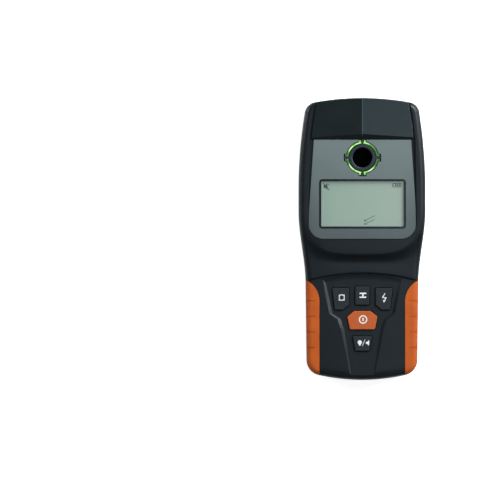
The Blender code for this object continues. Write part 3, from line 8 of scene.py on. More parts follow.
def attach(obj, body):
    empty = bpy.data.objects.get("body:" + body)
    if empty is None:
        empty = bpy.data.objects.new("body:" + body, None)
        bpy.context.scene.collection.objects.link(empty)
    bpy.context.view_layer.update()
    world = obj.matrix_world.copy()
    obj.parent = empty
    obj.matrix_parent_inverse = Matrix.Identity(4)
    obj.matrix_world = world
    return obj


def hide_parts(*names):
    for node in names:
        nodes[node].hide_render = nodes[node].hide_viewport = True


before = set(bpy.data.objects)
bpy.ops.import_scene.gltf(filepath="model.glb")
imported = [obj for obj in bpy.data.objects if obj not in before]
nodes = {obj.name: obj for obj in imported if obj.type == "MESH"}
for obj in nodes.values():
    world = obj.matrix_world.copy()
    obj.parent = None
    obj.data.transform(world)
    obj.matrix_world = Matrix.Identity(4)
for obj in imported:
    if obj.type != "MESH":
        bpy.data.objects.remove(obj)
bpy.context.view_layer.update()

scene = bpy.context.scene
cutGap = 0.0003   # between pieces that lie against each other
high, below, beyond = 0.060, -0.030, 0.2   # cutting shapes end here, well outside the object


def placed(name, mesh, material):
    if material:
        mesh.materials.append(material)
    piece = bpy.data.objects.new(name, mesh)
    scene.collection.objects.link(piece)
    return piece


def newPiece(name, bm, material=None):
    mesh = bpy.data.meshes.new(name)
    bmesh.ops.recalc_face_normals(bm, faces=bm.faces)
    bm.to_mesh(mesh)
    bm.free()
    return placed(name, mesh, material)


def applied(piece, kind, inputs=None, **settings):
    # the evaluated mesh takes the place of the modifier
    modifier = piece.modifiers.new(kind.lower(), kind)
    for name, value in settings.items():
        setattr(modifier, name, value)
    for name, value in (inputs or {}).items():
        modifier[name] = value
    bpy.context.view_layer.update()
    graph = bpy.context.evaluated_depsgraph_get()
    mesh = bpy.data.meshes.new_from_object(piece.evaluated_get(graph), depsgraph=graph)
    piece.modifiers.clear()
    piece.data = mesh
    return piece


def combine(piece, bm, operation="DIFFERENCE", solver="EXACT"):
    tool = newPiece("tool", bm)
    applied(piece, "BOOLEAN", operation=operation, solver=solver, object=tool)
    if not piece.data.polygons:
        raise RuntimeError("nothing is left of " + piece.name)
    bpy.data.objects.remove(tool)
    return piece


def takenApart(piece):
    # a helper piece's mesh, to cut or build with
    bm = bmesh.new()
    bm.from_mesh(piece.data)
    bpy.data.objects.remove(piece)
    return bm


def smoothEdges(piece, degrees=30, merge=0.000004):
    bm = bmesh.new()
    bm.from_mesh(piece.data)
    bmesh.ops.remove_doubles(bm, verts=bm.verts, dist=merge)
    bmesh.ops.dissolve_degenerate(bm, edges=bm.edges, dist=merge / 2)
    bm.to_mesh(piece.data)
    bm.free()
    piece.data.shade_smooth()
    piece.data.set_sharp_from_angle(angle=radians(degrees))
    # large faces keep their own direction up to their softened edges
    return applied(piece, "WEIGHTED_NORMAL", keep_sharp=True, weight=90)


def softenEdges(piece, width, segments=2, degrees=50):
    return applied(piece, "BEVEL", width=width, segments=segments, limit_method="ANGLE",
                   angle_limit=radians(degrees), miter_outer="MITER_ARC")


def bridge(bm, first, second):
    count = len(first)
    for i in range(count):
        j = (i + 1) % count
        bm.faces.new((first[i], first[j], second[j], second[i]))


def strung(bm, rings):
    loops = [[bm.verts.new(point) for point in ring] for ring in rings]
    for lower, upper in zip(loops, loops[1:]):
        bridge(bm, lower, upper)
    return loops


def lofted(rings):
    bm = bmesh.new()
    loops = strung(bm, rings)
    bm.faces.new(loops[0])
    bm.faces.new(loops[-1])
    return bm


def layers(outlineAt, steps):
    # steps are (grow, z) pairs; outlineAt gives the outline grown by that much
    return lofted([[(x, y, z) for x, y in outlineAt(grow)] for grow, z in steps])


def prism(outline, foot, top):
    return lofted([[(x, y, z) for x, y in outline] for z in (foot, top)])


def block(xs, ys, zs):
    return prism([(xs[0], ys[0]), (xs[1], ys[0]), (xs[1], ys[1]), (xs[0], ys[1])], *zs)


def swept(cx, cy, radius, start, sweep, count):
    turns = [start + sweep * k / count for k in range(count + 1)]
    return [(cx + radius * cos(a), cy + radius * sin(a)) for a in turns]


def circle(cx, cy, radius, count=96):
    return swept(cx, cy, radius, 0.0, 2 * pi, count)[:-1]


def turnedRings(cx, cy, profile, count):
    # profile runs from the foot to the top as (radius, z)
    return [[(x, y, z) for x, y in circle(cx, cy, radius, count)] for radius, z in profile]


def turned(cx, cy, profile, count):
    return lofted(turnedRings(cx, cy, profile, count))


def together(parts):
    whole = bmesh.new()
    for part in parts:
        mesh = bpy.data.meshes.new("part")
        part.to_mesh(mesh)
        part.free()
        whole.from_mesh(mesh)
        bpy.data.meshes.remove(mesh)
    return whole


def rounded(corners, radii, grow=0.0, count=6):
    outline = []
    for i, (corner, radius) in enumerate(zip(corners, radii)):
        here = Vector(corner)
        before = (Vector(corners[i - 1]) - here).normalized()
        after = (Vector(corners[(i + 1) % len(corners)]) - here).normalized()
        half = before.angle(after) / 2
        centre = here + (before + after).normalized() * (radius / sin(half))
        start = atan2(before.x, -before.y)
        outline += swept(*centre, radius + grow, start, pi - 2 * half, count)
    return [here for before, here in zip([outline[-1]] + outline, outline)
            if dist(before, here) > 1e-6]


def mirrored(right, middle=()):
    return [*right, *middle, *((-point[0], *point[1:]) for point in reversed(right))]


def mix(a, b, t):
    return a + (b - a) * t


def ease(t):
    t = min(max(t, 0.0), 1.0)
    return t * t * (3 - 2 * t)


def quarterTurn(count):
    # (inward, still to rise) along a rounded edge, as shares of its radius
    turns = [pi / 2 * k / count for k in range(count + 1)]
    return [(1 - cos(a), 1 - sin(a)) for a in turns]


body = dict(
    headEnd=0.100, footEnd=-0.100, headHalf=0.0450, waistHalf=0.0400, footHalf=0.0392,
    headTaper=0.0062, shoulderY=0.0345, neckTopY=0.0200, neckFootY=-0.0320,
    headCrown=0.188, headCorner=0.0090, footCrown=0.140, footCorner=0.0110,
    wall=0.0022, gripWall=0.0021, inside=0.0011, draft=0.0004, edgeRadius=0.0036, backDraft=0.0008,
    backRadius=0.0030, seam=0.0150, lipHeight=0.0012, lipInset=0.0010, seamInset=0.00015, seamEdge=0.0002,
    rim=0.0361, land=0.0309, channel=0.0297, gripCeiling=0.0282, headCeiling=0.0312,
    back=0.0008, floor=0.0030, crownSteps=12, cornerSteps=12, edgeSteps=9, columns=84,
)

# lines across the face: (y at the side, y in the middle, z at the side, z in the middle, power)
faceLines = [(y, y, 0.0361, 0.0361, 4.0) for y in
             (0.0800, 0.0720, 0.0640, 0.0560, 0.0480, 0.0400, 0.0320, 0.0240, 0.0156)] + [
    (0.0100, 0.0030, 0.0360, 0.0361, 4.0),
    (0.0044, -0.0070, 0.0356, 0.03598, 4.0),
    (0.0024, -0.0111, 0.03535, 0.03582, 4.0),
    (0.0019, -0.0117, 0.0351, 0.0356, 4.0),
    (0.0012, -0.0124, 0.0347, 0.0349, 4.0),
    (-0.0004, -0.0134, 0.0342, 0.0338, 4.0),
    (-0.0030, -0.0147, 0.0336, 0.0328, 4.0),
    (-0.0066, -0.0162, 0.0328, 0.0321, 3.9),
    (-0.0115, -0.0180, 0.0321, 0.0319, 3.6),
    (-0.0185, -0.0208, 0.0318, 0.0321, 2.9),
    (-0.0255, -0.0230, 0.0317, 0.0322, 2.2),
    (-0.0284, -0.02395, 0.03158, 0.03214, 2.0),
    (-0.0288, -0.02425, 0.03135, 0.0319, 2.0),
    (-0.0291, -0.0245, 0.0305, 0.0311, 2.0),
    (-0.0294, -0.0248, 0.03032, 0.0309, 2.0),
    (-0.0340, -0.0320, 0.0303, 0.03088, 2.0),
    (-0.0460, -0.0460, 0.03025, 0.0308, 2.0),
    (-0.0600, -0.0600, 0.0301, 0.0307, 2.0),
    (-0.0740, -0.0740, 0.0299, 0.03053, 2.0),
]
footLine = (0.0297, 0.0303, 2.0)


def halfWidth(y):
    if y > body["shoulderY"]:
        t = (y - body["shoulderY"]) / (body["headEnd"] - body["shoulderY"])
        return body["headHalf"] - body["headTaper"] * t * t
    if y > body["neckFootY"]:
        t = (body["neckTopY"] - y) / (body["neckTopY"] - body["neckFootY"])
        return mix(body["headHalf"], body["waistHalf"], ease(t))
    t = (body["neckFootY"] - y) / (body["neckFootY"] - body["footEnd"])
    return mix(body["waistHalf"], body["footHalf"], t)


def endRows(crown, corner, end):
    # outline points with their outward directions, from the middle of an end to its side
    reach = body["headEnd"]
    y = end * (reach - corner)
    for _ in range(4):
        x = halfWidth(y) - corner
        y = end * (reach - crown + sqrt((crown - corner) ** 2 - x * x))
    crownAngle = asin(x / (crown - corner))
    rows = []
    for centreX, centreY, radius, start, stop, steps in (
            (0.0, end * (reach - crown), crown, 0.0, crownAngle, body["crownSteps"]),
            (x, y, corner, crownAngle, pi / 2, body["cornerSteps"])):
        for k in range(steps):
            a = mix(start, stop, k / steps)
            outX, outY = sin(a), end * cos(a)
            rows.append((centreX + radius * outX, centreY + radius * outY, outX, outY))
    return rows, y


def sideRow(y):
    slope = (halfWidth(y + 1e-5) - halfWidth(y - 1e-5)) / 2e-5
    length = hypot(1.0, slope)
    return halfWidth(y), y, 1 / length, -slope / length


def cornersCut(lines, rounds=3):
    # each round replaces an inner corner by two points, so close lines leave a crisp edge
    for _ in range(rounds):
        cut = [lines[0]]
        for a, b in zip(lines, lines[1:]):
            cut += [tuple(mix(p, q, share) for p, q in zip(a, b)) for share in (0.25, 0.75)]
        lines = cut + [lines[-1]]
    return lines


def bodyRows():
    head, headY = endRows(body["headCrown"], body["headCorner"], 1)
    foot, footY = endRows(body["footCrown"], body["footCorner"], -1)
    first = (headY, headY, *faceLines[0][2:])
    last = (footY, footY, *footLine)
    lines = cornersCut([first] + faceLines + [last])
    return ([(point, first) for point in head] + [(sideRow(line[0]), line) for line in lines]
            + [(point, last) for point in reversed(foot)])


rows = bodyRows()
print("outline rows:", len(rows))


def around(inset, height):
    right = []
    for row in rows:
        (x, y, outX, outY), _ = row
        d = inset(row) if callable(inset) else inset
        z = height(row) if callable(height) else height
        right.append((max(x - d * outX, 0.0), y - d * outY, z))
    return right + [(-x, y, z) for x, y, z in reversed(right[1:-1])]


def coverFace(bm, loop, columns, middle):
    ends = body["crownSteps"] + body["cornerSteps"]
    lines = []
    for i, (_, (sideY, middleY, sideZ, middleZ, power)) in enumerate(rows):
        right = loop[i]
        left = loop[-i] if 0 < i < len(rows) - 1 else right
        made = [left]
        bow = middleY - sideY if middle and ends <= i < len(rows) - ends else 0.0
        lift = middleZ - sideZ if middle else 0.0
        if left is not right:
            for j in range(1, columns):
                t = 2 * j / columns - 1
                made.append(bm.verts.new((t * right.co.x, right.co.y + bow * (1 - abs(t) ** power),
                                          right.co.z + lift * (1 - t * t))))
            made.append(right)
        lines.append(made)
    for upper, lower in zip(lines, lines[1:]):
        a, b = len(upper) - 1, len(lower) - 1
        for j in range(columns):
            # at the ends, where a line is one point, two corners are the same
            bm.faces.new(dict.fromkeys((upper[min(j, a)], lower[min(j, b)],
                                        lower[min(j + 1, b)], upper[min(j + 1, a)])))


def faceRings(inset, drop):
    rings = []
    radius = body["edgeRadius"]
    for inward, rise in quarterTurn(body["edgeSteps"]):
        depth = drop + radius * rise
        rings.append(around(inset + body["draft"] + radius * inward,
                            lambda row, depth=depth: row[1][2] - depth))
    return rings


def skinned(rings, frontColumns=1, frontBow=False):
    bm = bmesh.new()
    loops = strung(bm, rings)
    coverFace(bm, loops[0], 1, False)
    coverFace(bm, loops[-1], frontColumns, frontBow)
    return bm


def bodyBlank(inset, bottom):
    return skinned([around(inset, bottom)] + faceRings(inset, inset), body["columns"], True)


print("body done")


def operator(operation, flip=False):
    return lambda self, other=None: self.maths(operation, other, flip)


class Wire:
    # a socket of a node tree: sums on it add their Math nodes
    def __init__(self, tree, socket=None):
        self.tree = tree
        self.socket = socket

    def plug(self, target, value):
        if isinstance(value, Wire):
            self.tree.links.new(value.socket, target)
        elif isinstance(value, (tuple, list)) and len(value) == 3 and target.type == "RGBA":
            target.default_value = (*value, 1.0)
        else:
            target.default_value = value

    def node(self, kind, settings=None, sockets=None, output=0):
        made = self.tree.nodes.new(kind)
        for name, value in (settings or {}).items():
            if name == "stops":
                ramp = made.color_ramp.elements
                while len(ramp) < len(value):
                    ramp.new(1.0)
                for element, (place, shade) in zip(ramp, value):
                    element.position = place
                    element.color = (*shade, 1.0)
            else:
                setattr(made, name, value)
        for name, value in (sockets or {}).items():
            self.plug(self.find(made.inputs, name), value)
        found = Wire(self.tree, None if output is None else self.find(made.outputs, output))
        found.made = made
        return found

    def find(self, sockets, name):
        if isinstance(name, int):
            return sockets[name]
        return next(s for s in sockets if name in (s.identifier, s.name) and s.enabled)

    def maths(self, operation, other=None, flip=False):
        values = [self] if other is None else [other, self] if flip else [self, other]
        return self.node("ShaderNodeMath", {"operation": operation}, dict(enumerate(values)))

    __add__ = __radd__ = operator("ADD")
    __sub__, __rsub__ = operator("SUBTRACT"), operator("SUBTRACT", True)
    __mul__ = __rmul__ = operator("MULTIPLY")
    __truediv__, __rtruediv__ = operator("DIVIDE"), operator("DIVIDE", True)
    __pow__, __abs__ = operator("POWER"), operator("ABSOLUTE")
    __gt__, __lt__ = operator("GREATER_THAN"), operator("LESS_THAN")
    larger, smaller = operator("MAXIMUM"), operator("MINIMUM")

    def limited(self, low, top):
        # 0 below low and 1 above top, with a smooth step between them
        return self.node("ShaderNodeMapRange", {"interpolation_type": "SMOOTHSTEP"},
                         {"Value": self, "From Min": low, "From Max": top})

    def between(self, first, second):
        # this mask leads from the first colour to the second
        return self.node("ShaderNodeMix", {"data_type": "RGBA"},
                         {"Factor_Float": self, "A_Color": first, "B_Color": second}, "Result_Color")

    def noise(self, size, detail, roughness):
        # on a place: size is the length of one grain in metres
        return self.node("ShaderNodeTexNoise", None,
                         {"Vector": self, "Scale": 1.0 / size, "Detail": detail, "Roughness": roughness})

    def grains(self, size):
        return self.node("ShaderNodeTexVoronoi", None, {"Vector": self, "Scale": 1.0 / size})

    def bands(self, direction, scale, distortion, detail):
        return self.node("ShaderNodeTexWave", {"wave_type": "BANDS", "bands_direction": direction},
                         {"Vector": self, "Scale": scale, "Distortion": distortion, "Detail": detail})

    def stretched(self, *scale):
        return self.node("ShaderNodeMapping", None, {"Vector": self, "Scale": scale})

    def axes(self):
        split = self.node("ShaderNodeSeparateXYZ", None, {"Vector": self})
        return [Wire(self.tree, split.made.outputs[k]) for k in range(3)]

    def bump(self, strength, distance, **under):
        return self.node("ShaderNodeBump", None,
                         {"Height": self, "Strength": strength, "Distance": distance, **under})


specular = "Specular IOR Level"


def newMaterial(name, fixed, paint):
    # fixed values go straight onto the shader's sockets; paint wires what varies over the surface
    made = bpy.data.materials.new(name)
    made.use_nodes = True
    shader = made.node_tree.nodes["Principled BSDF"]
    for socket, value in fixed.items():
        shader.inputs[socket].default_value = value
    place = Wire(made.node_tree).node("ShaderNodeTexCoord", None, None, "Object")
    for socket, value in paint(place).items():
        place.plug(shader.inputs[socket], value)
    return made


def mouldedPlastic(name, colour, rough, grain=0.00022, grainDeep=0.000012, tint=0.16, shine=0.4,
                   ridge=None):
    # spark-eroded mould texture and faint flow marks; ridge paints a highlight, a lighter line along a roof's
    # top
    def paint(place):
        fine = place.noise(grain, 4.0, 0.6)
        flow = place.noise(0.012, 3.0, 0.5)
        shade = flow * tint + (1.0 - tint / 2)
        if ridge:
            x, _, z = place.axes()
            # painted highlight: a lighter line along the ridge's top
            line = 1.0 - abs(x).limited(*ridge["width"])
            shade = shade + line * z.limited(*ridge["level"]) * ridge["light"]
        tone = place.node("ShaderNodeVectorMath", {"operation": "SCALE"}, {"Vector": colour, "Scale": shade})
        return {"Base Color": tone, "Roughness": rough + (flow - 0.5) * 0.12 + (fine - 0.5) * 0.10,
                "Normal": fine.bump(0.35, grainDeep, Normal=flow.bump(0.05, 0.0004))}

    return newMaterial(name, {specular: shine}, paint)


def beyondWindow(x, y):
    # how far a place lies outside the display window's outline
    radius = window["radius"]
    side = (abs(x) - (window["half"] - radius)).larger(0.0)
    middle, tall = (window["top"] + window["foot"]) / 2, window["top"] - window["foot"]
    end = (abs(y - middle) - (tall / 2 - radius)).larger(0.0)
    return (side ** 2.0 + end ** 2.0) ** 0.5 - radius


def facePaint(place):
    # satin paint with a fine speckle, painted shade that makes it deeper towards the foot and darker to the
    # left, and a thin black line round the window
    fine = place.noise(0.00016, 3.0, 0.6)
    cloud = place.noise(0.030, 2.0, 0.5)
    x, y, _ = place.axes()
    # painted shade: darker towards the foot and the left, mixed with the paint's random cloud and speckle
    paintedShadeAndMottle = x / 0.076 * 0.12 + y / 0.070 * 0.70 + 0.15 + (cloud - 0.5) * 0.25 + (fine - 0.5) * 0.35
    paint = paintedShadeAndMottle.limited(0.0, 1.0).between((0.068, 0.083, 0.084), (0.136, 0.169, 0.166))
    line = 1.0 - beyondWindow(x, y).limited(0.00032, 0.00042)
    return {"Base Color": line.between(paint, (0.006, 0.008, 0.009)),
            "Roughness": 0.40 + (fine - 0.5) * 0.16, "Normal": fine.bump(0.20, 0.000008)}


def rubberPaint(place):
    # soft grip rubber: a matt bloom, fine pores and uneven colour
    pores = place.grains(0.00032)
    fine = place.noise(0.00018, 3.0, 0.6)
    cloud = place.noise(0.011, 3.0, 0.5)
    shade = (cloud * 0.75 + fine * 0.25).limited(0.25, 0.75)
    return {"Base Color": shade.between((0.415, 0.073, 0.0075), (0.512, 0.095, 0.0098)),
            "Roughness": 0.60 + (cloud - 0.5) * 0.14,
            "Normal": (pores * 0.6 + fine * 0.4).bump(0.30, 0.000020)}


def keyPaint(dark, pale, rough):
    # pad printed keys are moulded in a fine, almost velvety texture
    def paint(place):
        sand = place.noise(0.00020, 4.0, 0.7)
        cloud = place.noise(0.006, 2.0, 0.5)
        shade = (sand * 0.6 + cloud * 0.4).limited(0.30, 0.70)
        return {"Base Color": shade.between(dark, pale), "Roughness": rough + (sand - 0.5) * 0.2,
                "Normal": sand.bump(0.45, 0.000030)}
    return paint


def displayPaintWithPaintedLight(place):
    # grey-green display with the faint dot grain of its foil; its glow is painted light that fills the window
    # edge's shadow, and painted shade darkens it towards the left
    x, _, _ = place.axes()
    foil = place.noise(0.00012, 2.0, 0.6)
    cloud = place.noise(0.020, 2.0, 0.5)
    # painted shade: darker towards the left
    shade = ((x / 0.060 + 0.5) * 0.8 + (cloud - 0.5) * 0.25 + (foil - 0.5) * 0.12).limited(-0.1, 1.1)
    # the emission is painted light, a glow from no lamp that fills the window edge's shadow
    return {"Base Color": shade.between((0.130, 0.181, 0.150), (0.168, 0.208, 0.176)),
            "Emission Color": shade.between((0.134, 0.186, 0.154), (0.163, 0.202, 0.172)),
            "Roughness": 0.34 + (foil - 0.5) * 0.1}


def lensPaint(place):
    # hard coated clear window with fine scratches and a black border printed behind it
    scratch = place.bands("DIAGONAL", 900.0, 6.0, 3.0)
    x, y, _ = place.axes()
    border = (beyondWindow(x, y) + window["border"]).limited(-0.0001, 0.0001)
    return {"Base Color": border.between((0.30, 0.34, 0.32), (0.0035, 0.005, 0.006)),
            "Alpha": 0.06 + border * 0.93, "Roughness": 0.12 + scratch * 0.05}


def printPaint(place):
    ink = place.noise(0.00010, 3.0, 0.6)
    return {"Base Color": ink.limited(0.2, 0.8).between((0.70, 0.71, 0.70), (0.82, 0.83, 0.82)),
            "Roughness": 0.45 + ink * 0.15}


def segmentPaint(place):
    ink = place.noise(0.00015, 2.0, 0.5)
    return {"Base Color": ink.between((0.016, 0.028, 0.025), (0.034, 0.052, 0.046)),
            "Roughness": 0.30 + ink * 0.1}


def metalPaint(colour, rough):
    def paint(place):
        lines = place.stretched(1.0, 9.0, 9.0).noise(0.00030, 3.0, 0.6)
        cloud = place.noise(0.004, 2.0, 0.5)
        tone = (lines * 0.5 + cloud * 0.5).between(tuple(c * 0.8 for c in colour), colour)
        return {"Base Color": tone, "Roughness": rough + (lines - 0.5) * 0.2,
                "Normal": lines.bump(0.15, 0.000010)}
    return paint


def feltPaint(place):
    # pressed wool: short crossed fibres
    along = place.stretched(1.0, 5.0, 2.0).noise(0.00055, 5.0, 0.7)
    across = place.stretched(5.0, 1.0, 2.0).noise(0.00055, 5.0, 0.7)
    fibres = along * 0.5 + across * 0.5
    tone = fibres.limited(0.30, 0.70).between((0.022, 0.023, 0.026), (0.085, 0.086, 0.092))
    return {"Base Color": tone, "Roughness": 0.92 + (fibres - 0.5) * 0.1,
            "Normal": fibres.bump(0.9, 0.00012)}


def boardPaint(place):
    # green solder mask over copper tracks, with tinned vias
    tracks = place.bands("X", 420.0, 2.2, 1.0).limited(0.55, 0.70)
    dots = 1.0 - place.grains(0.0032).limited(0.10, 0.14)
    mask = tracks.between((0.010, 0.075, 0.028), (0.020, 0.135, 0.050))
    return {"Base Color": (dots * 0.9).between(mask, (0.62, 0.60, 0.55)),
            "Roughness": 0.30 + (1.0 - tracks) * 0.08, "Metallic": dots * 0.8,
            "Normal": (tracks + dots).bump(0.25, 0.00003)}


def windingPaint(place):
    # enamelled copper wire, turn beside turn round the marking hole, with painted shade darkening the grooves
    # between turns
    _, _, z = place.axes()
    groove = abs((z / 0.00032).maths("FRACT") - 0.5) * 2.0
    fine = place.noise(0.0012, 3.0, 0.6)
    # painted shade: the colour is darker between the turns
    return {"Base Color": groove.between((0.66, 0.25, 0.09), (0.30, 0.085, 0.030)),
            "Roughness": 0.26 + fine * 0.12, "Metallic": 0.85 + fine * 0.1,
            "Normal": (1.0 - groove).bump(0.6, 0.00008)}


def casePaint(place):
    # printed battery can: dark foil with a pale band near its foot
    _, y, _ = place.axes()
    foil = place.noise(0.0006, 3.0, 0.6)
    band = (y + 0.0948).limited(0.0118, 0.0122)
    tone = band.between((0.62, 0.47, 0.10), (0.022, 0.030, 0.050))
    worn = foil.limited(0.72, 0.80)
    return {"Base Color": (worn * 0.25).between(tone, (0.35, 0.35, 0.35)),
            "Roughness": 0.28 + foil * 0.12, "Metallic": 0.25 + foil * 0.2}


glow = dict(   # spots of light over the lamps, as (degrees round the hole, millimetres from it, power)
    spots=((140, 10.5, 1.0), (223, 10.5, 0.92), (305, 10.5, 1.0), (50, 10.5, 0.28), (108, 11, 0.85),
           (77, 11, 0.80), (252, 11, 0.90), (282, 11.5, 0.65), (172, 11.5, 0.12), (8, 11.5, 0.05)),
    stops=[(0.0, (0.014, 0.060, 0.010)), (0.25, (0.058, 0.22, 0.026)), (0.60, (0.27, 0.84, 0.10)),
           (1.0, (0.88, 1.0, 0.66))])


def glowPaint(place):
    # the light guide is brightest beside the lamps under it and along the middle of its track
    x, y, _ = place.axes()
    away = y - marking["y"]
    light = None
    for angle, radius, power in glow["spots"]:
        a = radians(angle)
        spotX, spotY = radius / 1000 * cos(a), radius / 1000 * sin(a)
        reach = ((x - spotX) ** 2.0 + (away - spotY) ** 2.0) ** 0.5
        spot = (1.0 - reach.limited(0.0006, 0.0054)) * power
        light = light.larger(spot) if light else spot
    middle, hook = marking["ringMiddle"], marking["hook"]
    arc = abs((x ** 2.0 + away ** 2.0) ** 0.5 - middle)
    upright = abs(abs(x) - hook).larger(middle - abs(away))
    level = abs(abs(away) - hook).larger(middle - abs(x))
    track = 1.0 - arc.smaller(upright).smaller(level).limited(0.00025, 0.00062)
    fine = place.noise(0.0008, 2.0, 0.5)
    shine = light * (0.25 + track * 0.75) * (0.92 + fine * 0.16) * (0.4 + track * 0.6)
    return {"Emission Color": place.node("ShaderNodeValToRGB", {"stops": glow["stops"]}, {"Fac": shine}),
            "Base Color": track.between((0.013, 0.032, 0.012), (0.040, 0.105, 0.024)),
            "Roughness": 0.25 + fine * 0.1}


def geometryTree(name, **wanted):
    # wanted gives the kind of each named input; the first socket is always the geometry
    tree = bpy.data.node_groups.new(name, "GeometryNodeTree")
    tree.interface.new_socket(name="Geometry", in_out="INPUT", socket_type="NodeSocketGeometry")
    ids = {}
    for label, kind in wanted.items():
        made = tree.interface.new_socket(name=label, in_out="INPUT", socket_type="NodeSocket" + kind)
        ids[label] = made.identifier
    tree.interface.new_socket(name="Geometry", in_out="OUTPUT", socket_type="NodeSocketGeometry")
    start = Wire(tree)
    entry = start.node("NodeGroupInput")
    given = {s.name: Wire(tree, s) for s in entry.made.outputs if s.name}
    return tree, start, given, ids


def closeTree(start, geometry, material):
    real = start.node("GeometryNodeRealizeInstances", None, {"Geometry": geometry})
    painted = start.node("GeometryNodeSetMaterial", None, {"Geometry": real, "Material": material})
    start.node("NodeGroupOutput", None, {"Geometry": painted}, None)


def repeatTree():
    # one copy of a piece on each point, each turned a step further round z
    tree, start, given, ids = geometryTree("repeat", Piece="Object", Turn="Float", Finish="Material")
    piece = start.node("GeometryNodeObjectInfo", None, {"Object": given["Piece"]}, "Geometry")
    index = start.node("GeometryNodeInputIndex")
    turn = start.node("ShaderNodeCombineXYZ", None, {"Z": index * given["Turn"]})
    copies = start.node("GeometryNodeInstanceOnPoints", None,
                        {"Points": given["Geometry"], "Instance": piece, "Rotation": turn})
    closeTree(start, copies, given["Finish"])
    return tree, ids


repeating = repeatTree()


def runTree(piece, treeAndIds, **values):
    tree, ids = treeAndIds
    return applied(piece, "NODES", {ids[name]: value for name, value in values.items()}, node_group=tree)


def repeated(name, sample, places, material=None, turn=0.0):
    bm = bmesh.new()
    for place in places:
        bm.verts.new(place)
    piece = runTree(newPiece(name, bm), repeating, Piece=sample, Turn=turn, Finish=material)
    bpy.data.objects.remove(sample)
    return piece


def ribbon(points, width, foot, top, closed):
    # a flat stroke of even width with mitred corners
    bm = bmesh.new()
    count = len(points)
    rings = []
    for i, point in enumerate(points):
        here = Vector(point)
        before = here - Vector(points[i - 1]) if closed or i else None
        after = Vector(points[(i + 1) % count]) - here if closed or i < count - 1 else None
        before = (before or after).normalized()
        after = (after or before).normalized()
        along = (before + after).normalized()
        side = Vector((-along.y, along.x)) * (width / 2 / max(along.dot(before), 0.5))
        corners = ((1, foot), (-1, foot), (-1, top), (1, top))
        rings.append([bm.verts.new((*(here + side * s), z)) for s, z in corners])
    for first, second in zip(rings, rings[1:]):
        bridge(bm, first, second)
    if closed:
        bridge(bm, rings[-1], rings[0])
    else:
        bm.faces.new(rings[0])
        bm.faces.new(rings[-1])
    return bm


def millimetres(points, at=(0.0, 0.0)):
    return [((x + at[0]) / 1000, (y + at[1]) / 1000) for x, y in points]


def stroke(levels, width, points, at=(0.0, 0.0), closed=False):
    return ribbon(millimetres(points, at), width, *levels, closed)


def patch(levels, points, at=(0.0, 0.0)):
    return prism(millimetres(points, at), *levels)


def finished(piece, slot, *replaced, rides="housing"):
    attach(piece, rides)
    if replaced:
        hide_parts(*replaced)
    return piece


blackPlastic = mouldedPlastic("blackPlastic", (0.0054, 0.0080, 0.0106), rough=0.35, shine=0.32)
backPlastic = mouldedPlastic("backPlastic", (0.0075, 0.0105, 0.0130), rough=0.46, grain=0.0004,
                             grainDeep=0.00003)
# the roof's ridge line is a painted highlight
roofPlastic = mouldedPlastic("roofPlastic", (0.0060, 0.0105, 0.0118), rough=0.20, grainDeep=0.000004,
                             shine=0.5, ridge=dict(width=(0.00015, 0.00042), level=(0.0364, 0.0368),
                                                   light=5.0))
collarPlastic = mouldedPlastic("collarPlastic", (0.0165, 0.0215, 0.0325), rough=0.40)
innerPlastic = mouldedPlastic("innerPlastic", (0.62, 0.62, 0.59), rough=0.45, tint=0.08)
creamPlastic = mouldedPlastic("creamPlastic", (0.60, 0.52, 0.36), rough=0.45, tint=0.10)
chipPlastic = mouldedPlastic("chipPlastic", (0.018, 0.018, 0.020), rough=0.55, grain=0.0003)
redPlastic = mouldedPlastic("redPlastic", (0.42, 0.020, 0.016), rough=0.35, tint=0.12)
gripRubber = newMaterial("gripRubber", {specular: 0.24}, rubberPaint)
blackKey = newMaterial("blackKey", {specular: 0.28},
                       keyPaint((0.0075, 0.0115, 0.0135), (0.014, 0.020, 0.023), 0.62))
orangeKey = newMaterial("orangeKey", {specular: 0.35},
                        keyPaint((0.415, 0.077, 0.0125), (0.475, 0.096, 0.018), 0.55))
# the emission strength drives the display's painted glow
displayFoil = newMaterial("displayFoil", {specular: 0.5, "Emission Strength": 1.0}, displayPaintWithPaintedLight)
whitePrint = newMaterial("whitePrint", {specular: 0.3}, printPaint)
segmentInk = newMaterial("segmentInk", {specular: 0.3}, segmentPaint)
zincSteel = newMaterial("zincSteel", {"Metallic": 1.0}, metalPaint((0.60, 0.61, 0.62), 0.32))
contactSteel = newMaterial("contactSteel", {"Metallic": 1.0}, metalPaint((0.70, 0.69, 0.66), 0.26))
glideFelt = newMaterial("glideFelt", {specular: 0.1}, feltPaint)
boardMask = newMaterial("boardMask", {specular: 0.5}, boardPaint)
copperWinding = newMaterial("copperWinding", {}, windingPaint)
batteryFoil = newMaterial("batteryFoil", {}, casePaint)
print("finishes done")

marking = dict(y=0.0574, bore=0.00687, boreEdge=0.0008, sleeve=0.00847, disc=0.0092, discThick=0.0020,
               armReach=0.0129, armHalf=0.0008, top=0.0348, ringInner=0.0098, ringOuter=0.0112,
               hookReach=0.0122, hookWidth=0.0012, ringFoot=0.0260, ringTop=0.0347, ringFace=0.0012,
               shade=0.0105)
marking["ringMiddle"] = (marking["ringInner"] + marking["ringOuter"]) / 2
marking["hook"] = marking["armHalf"] + cutGap + marking["hookWidth"] / 2

plate = dict(low=0.0337, top=0.0349, seat=0.0334, bend=0.0200, bendHalf=0.0378, footHalf=0.0381, topY=0.0700,
             sideMargin=0.0088, radius=0.0105, topRadius=0.0008, edge=0.00018, ringRoom=0.00045)
plate["topHalf"] = halfWidth(plate["topY"]) - plate["sideMargin"]

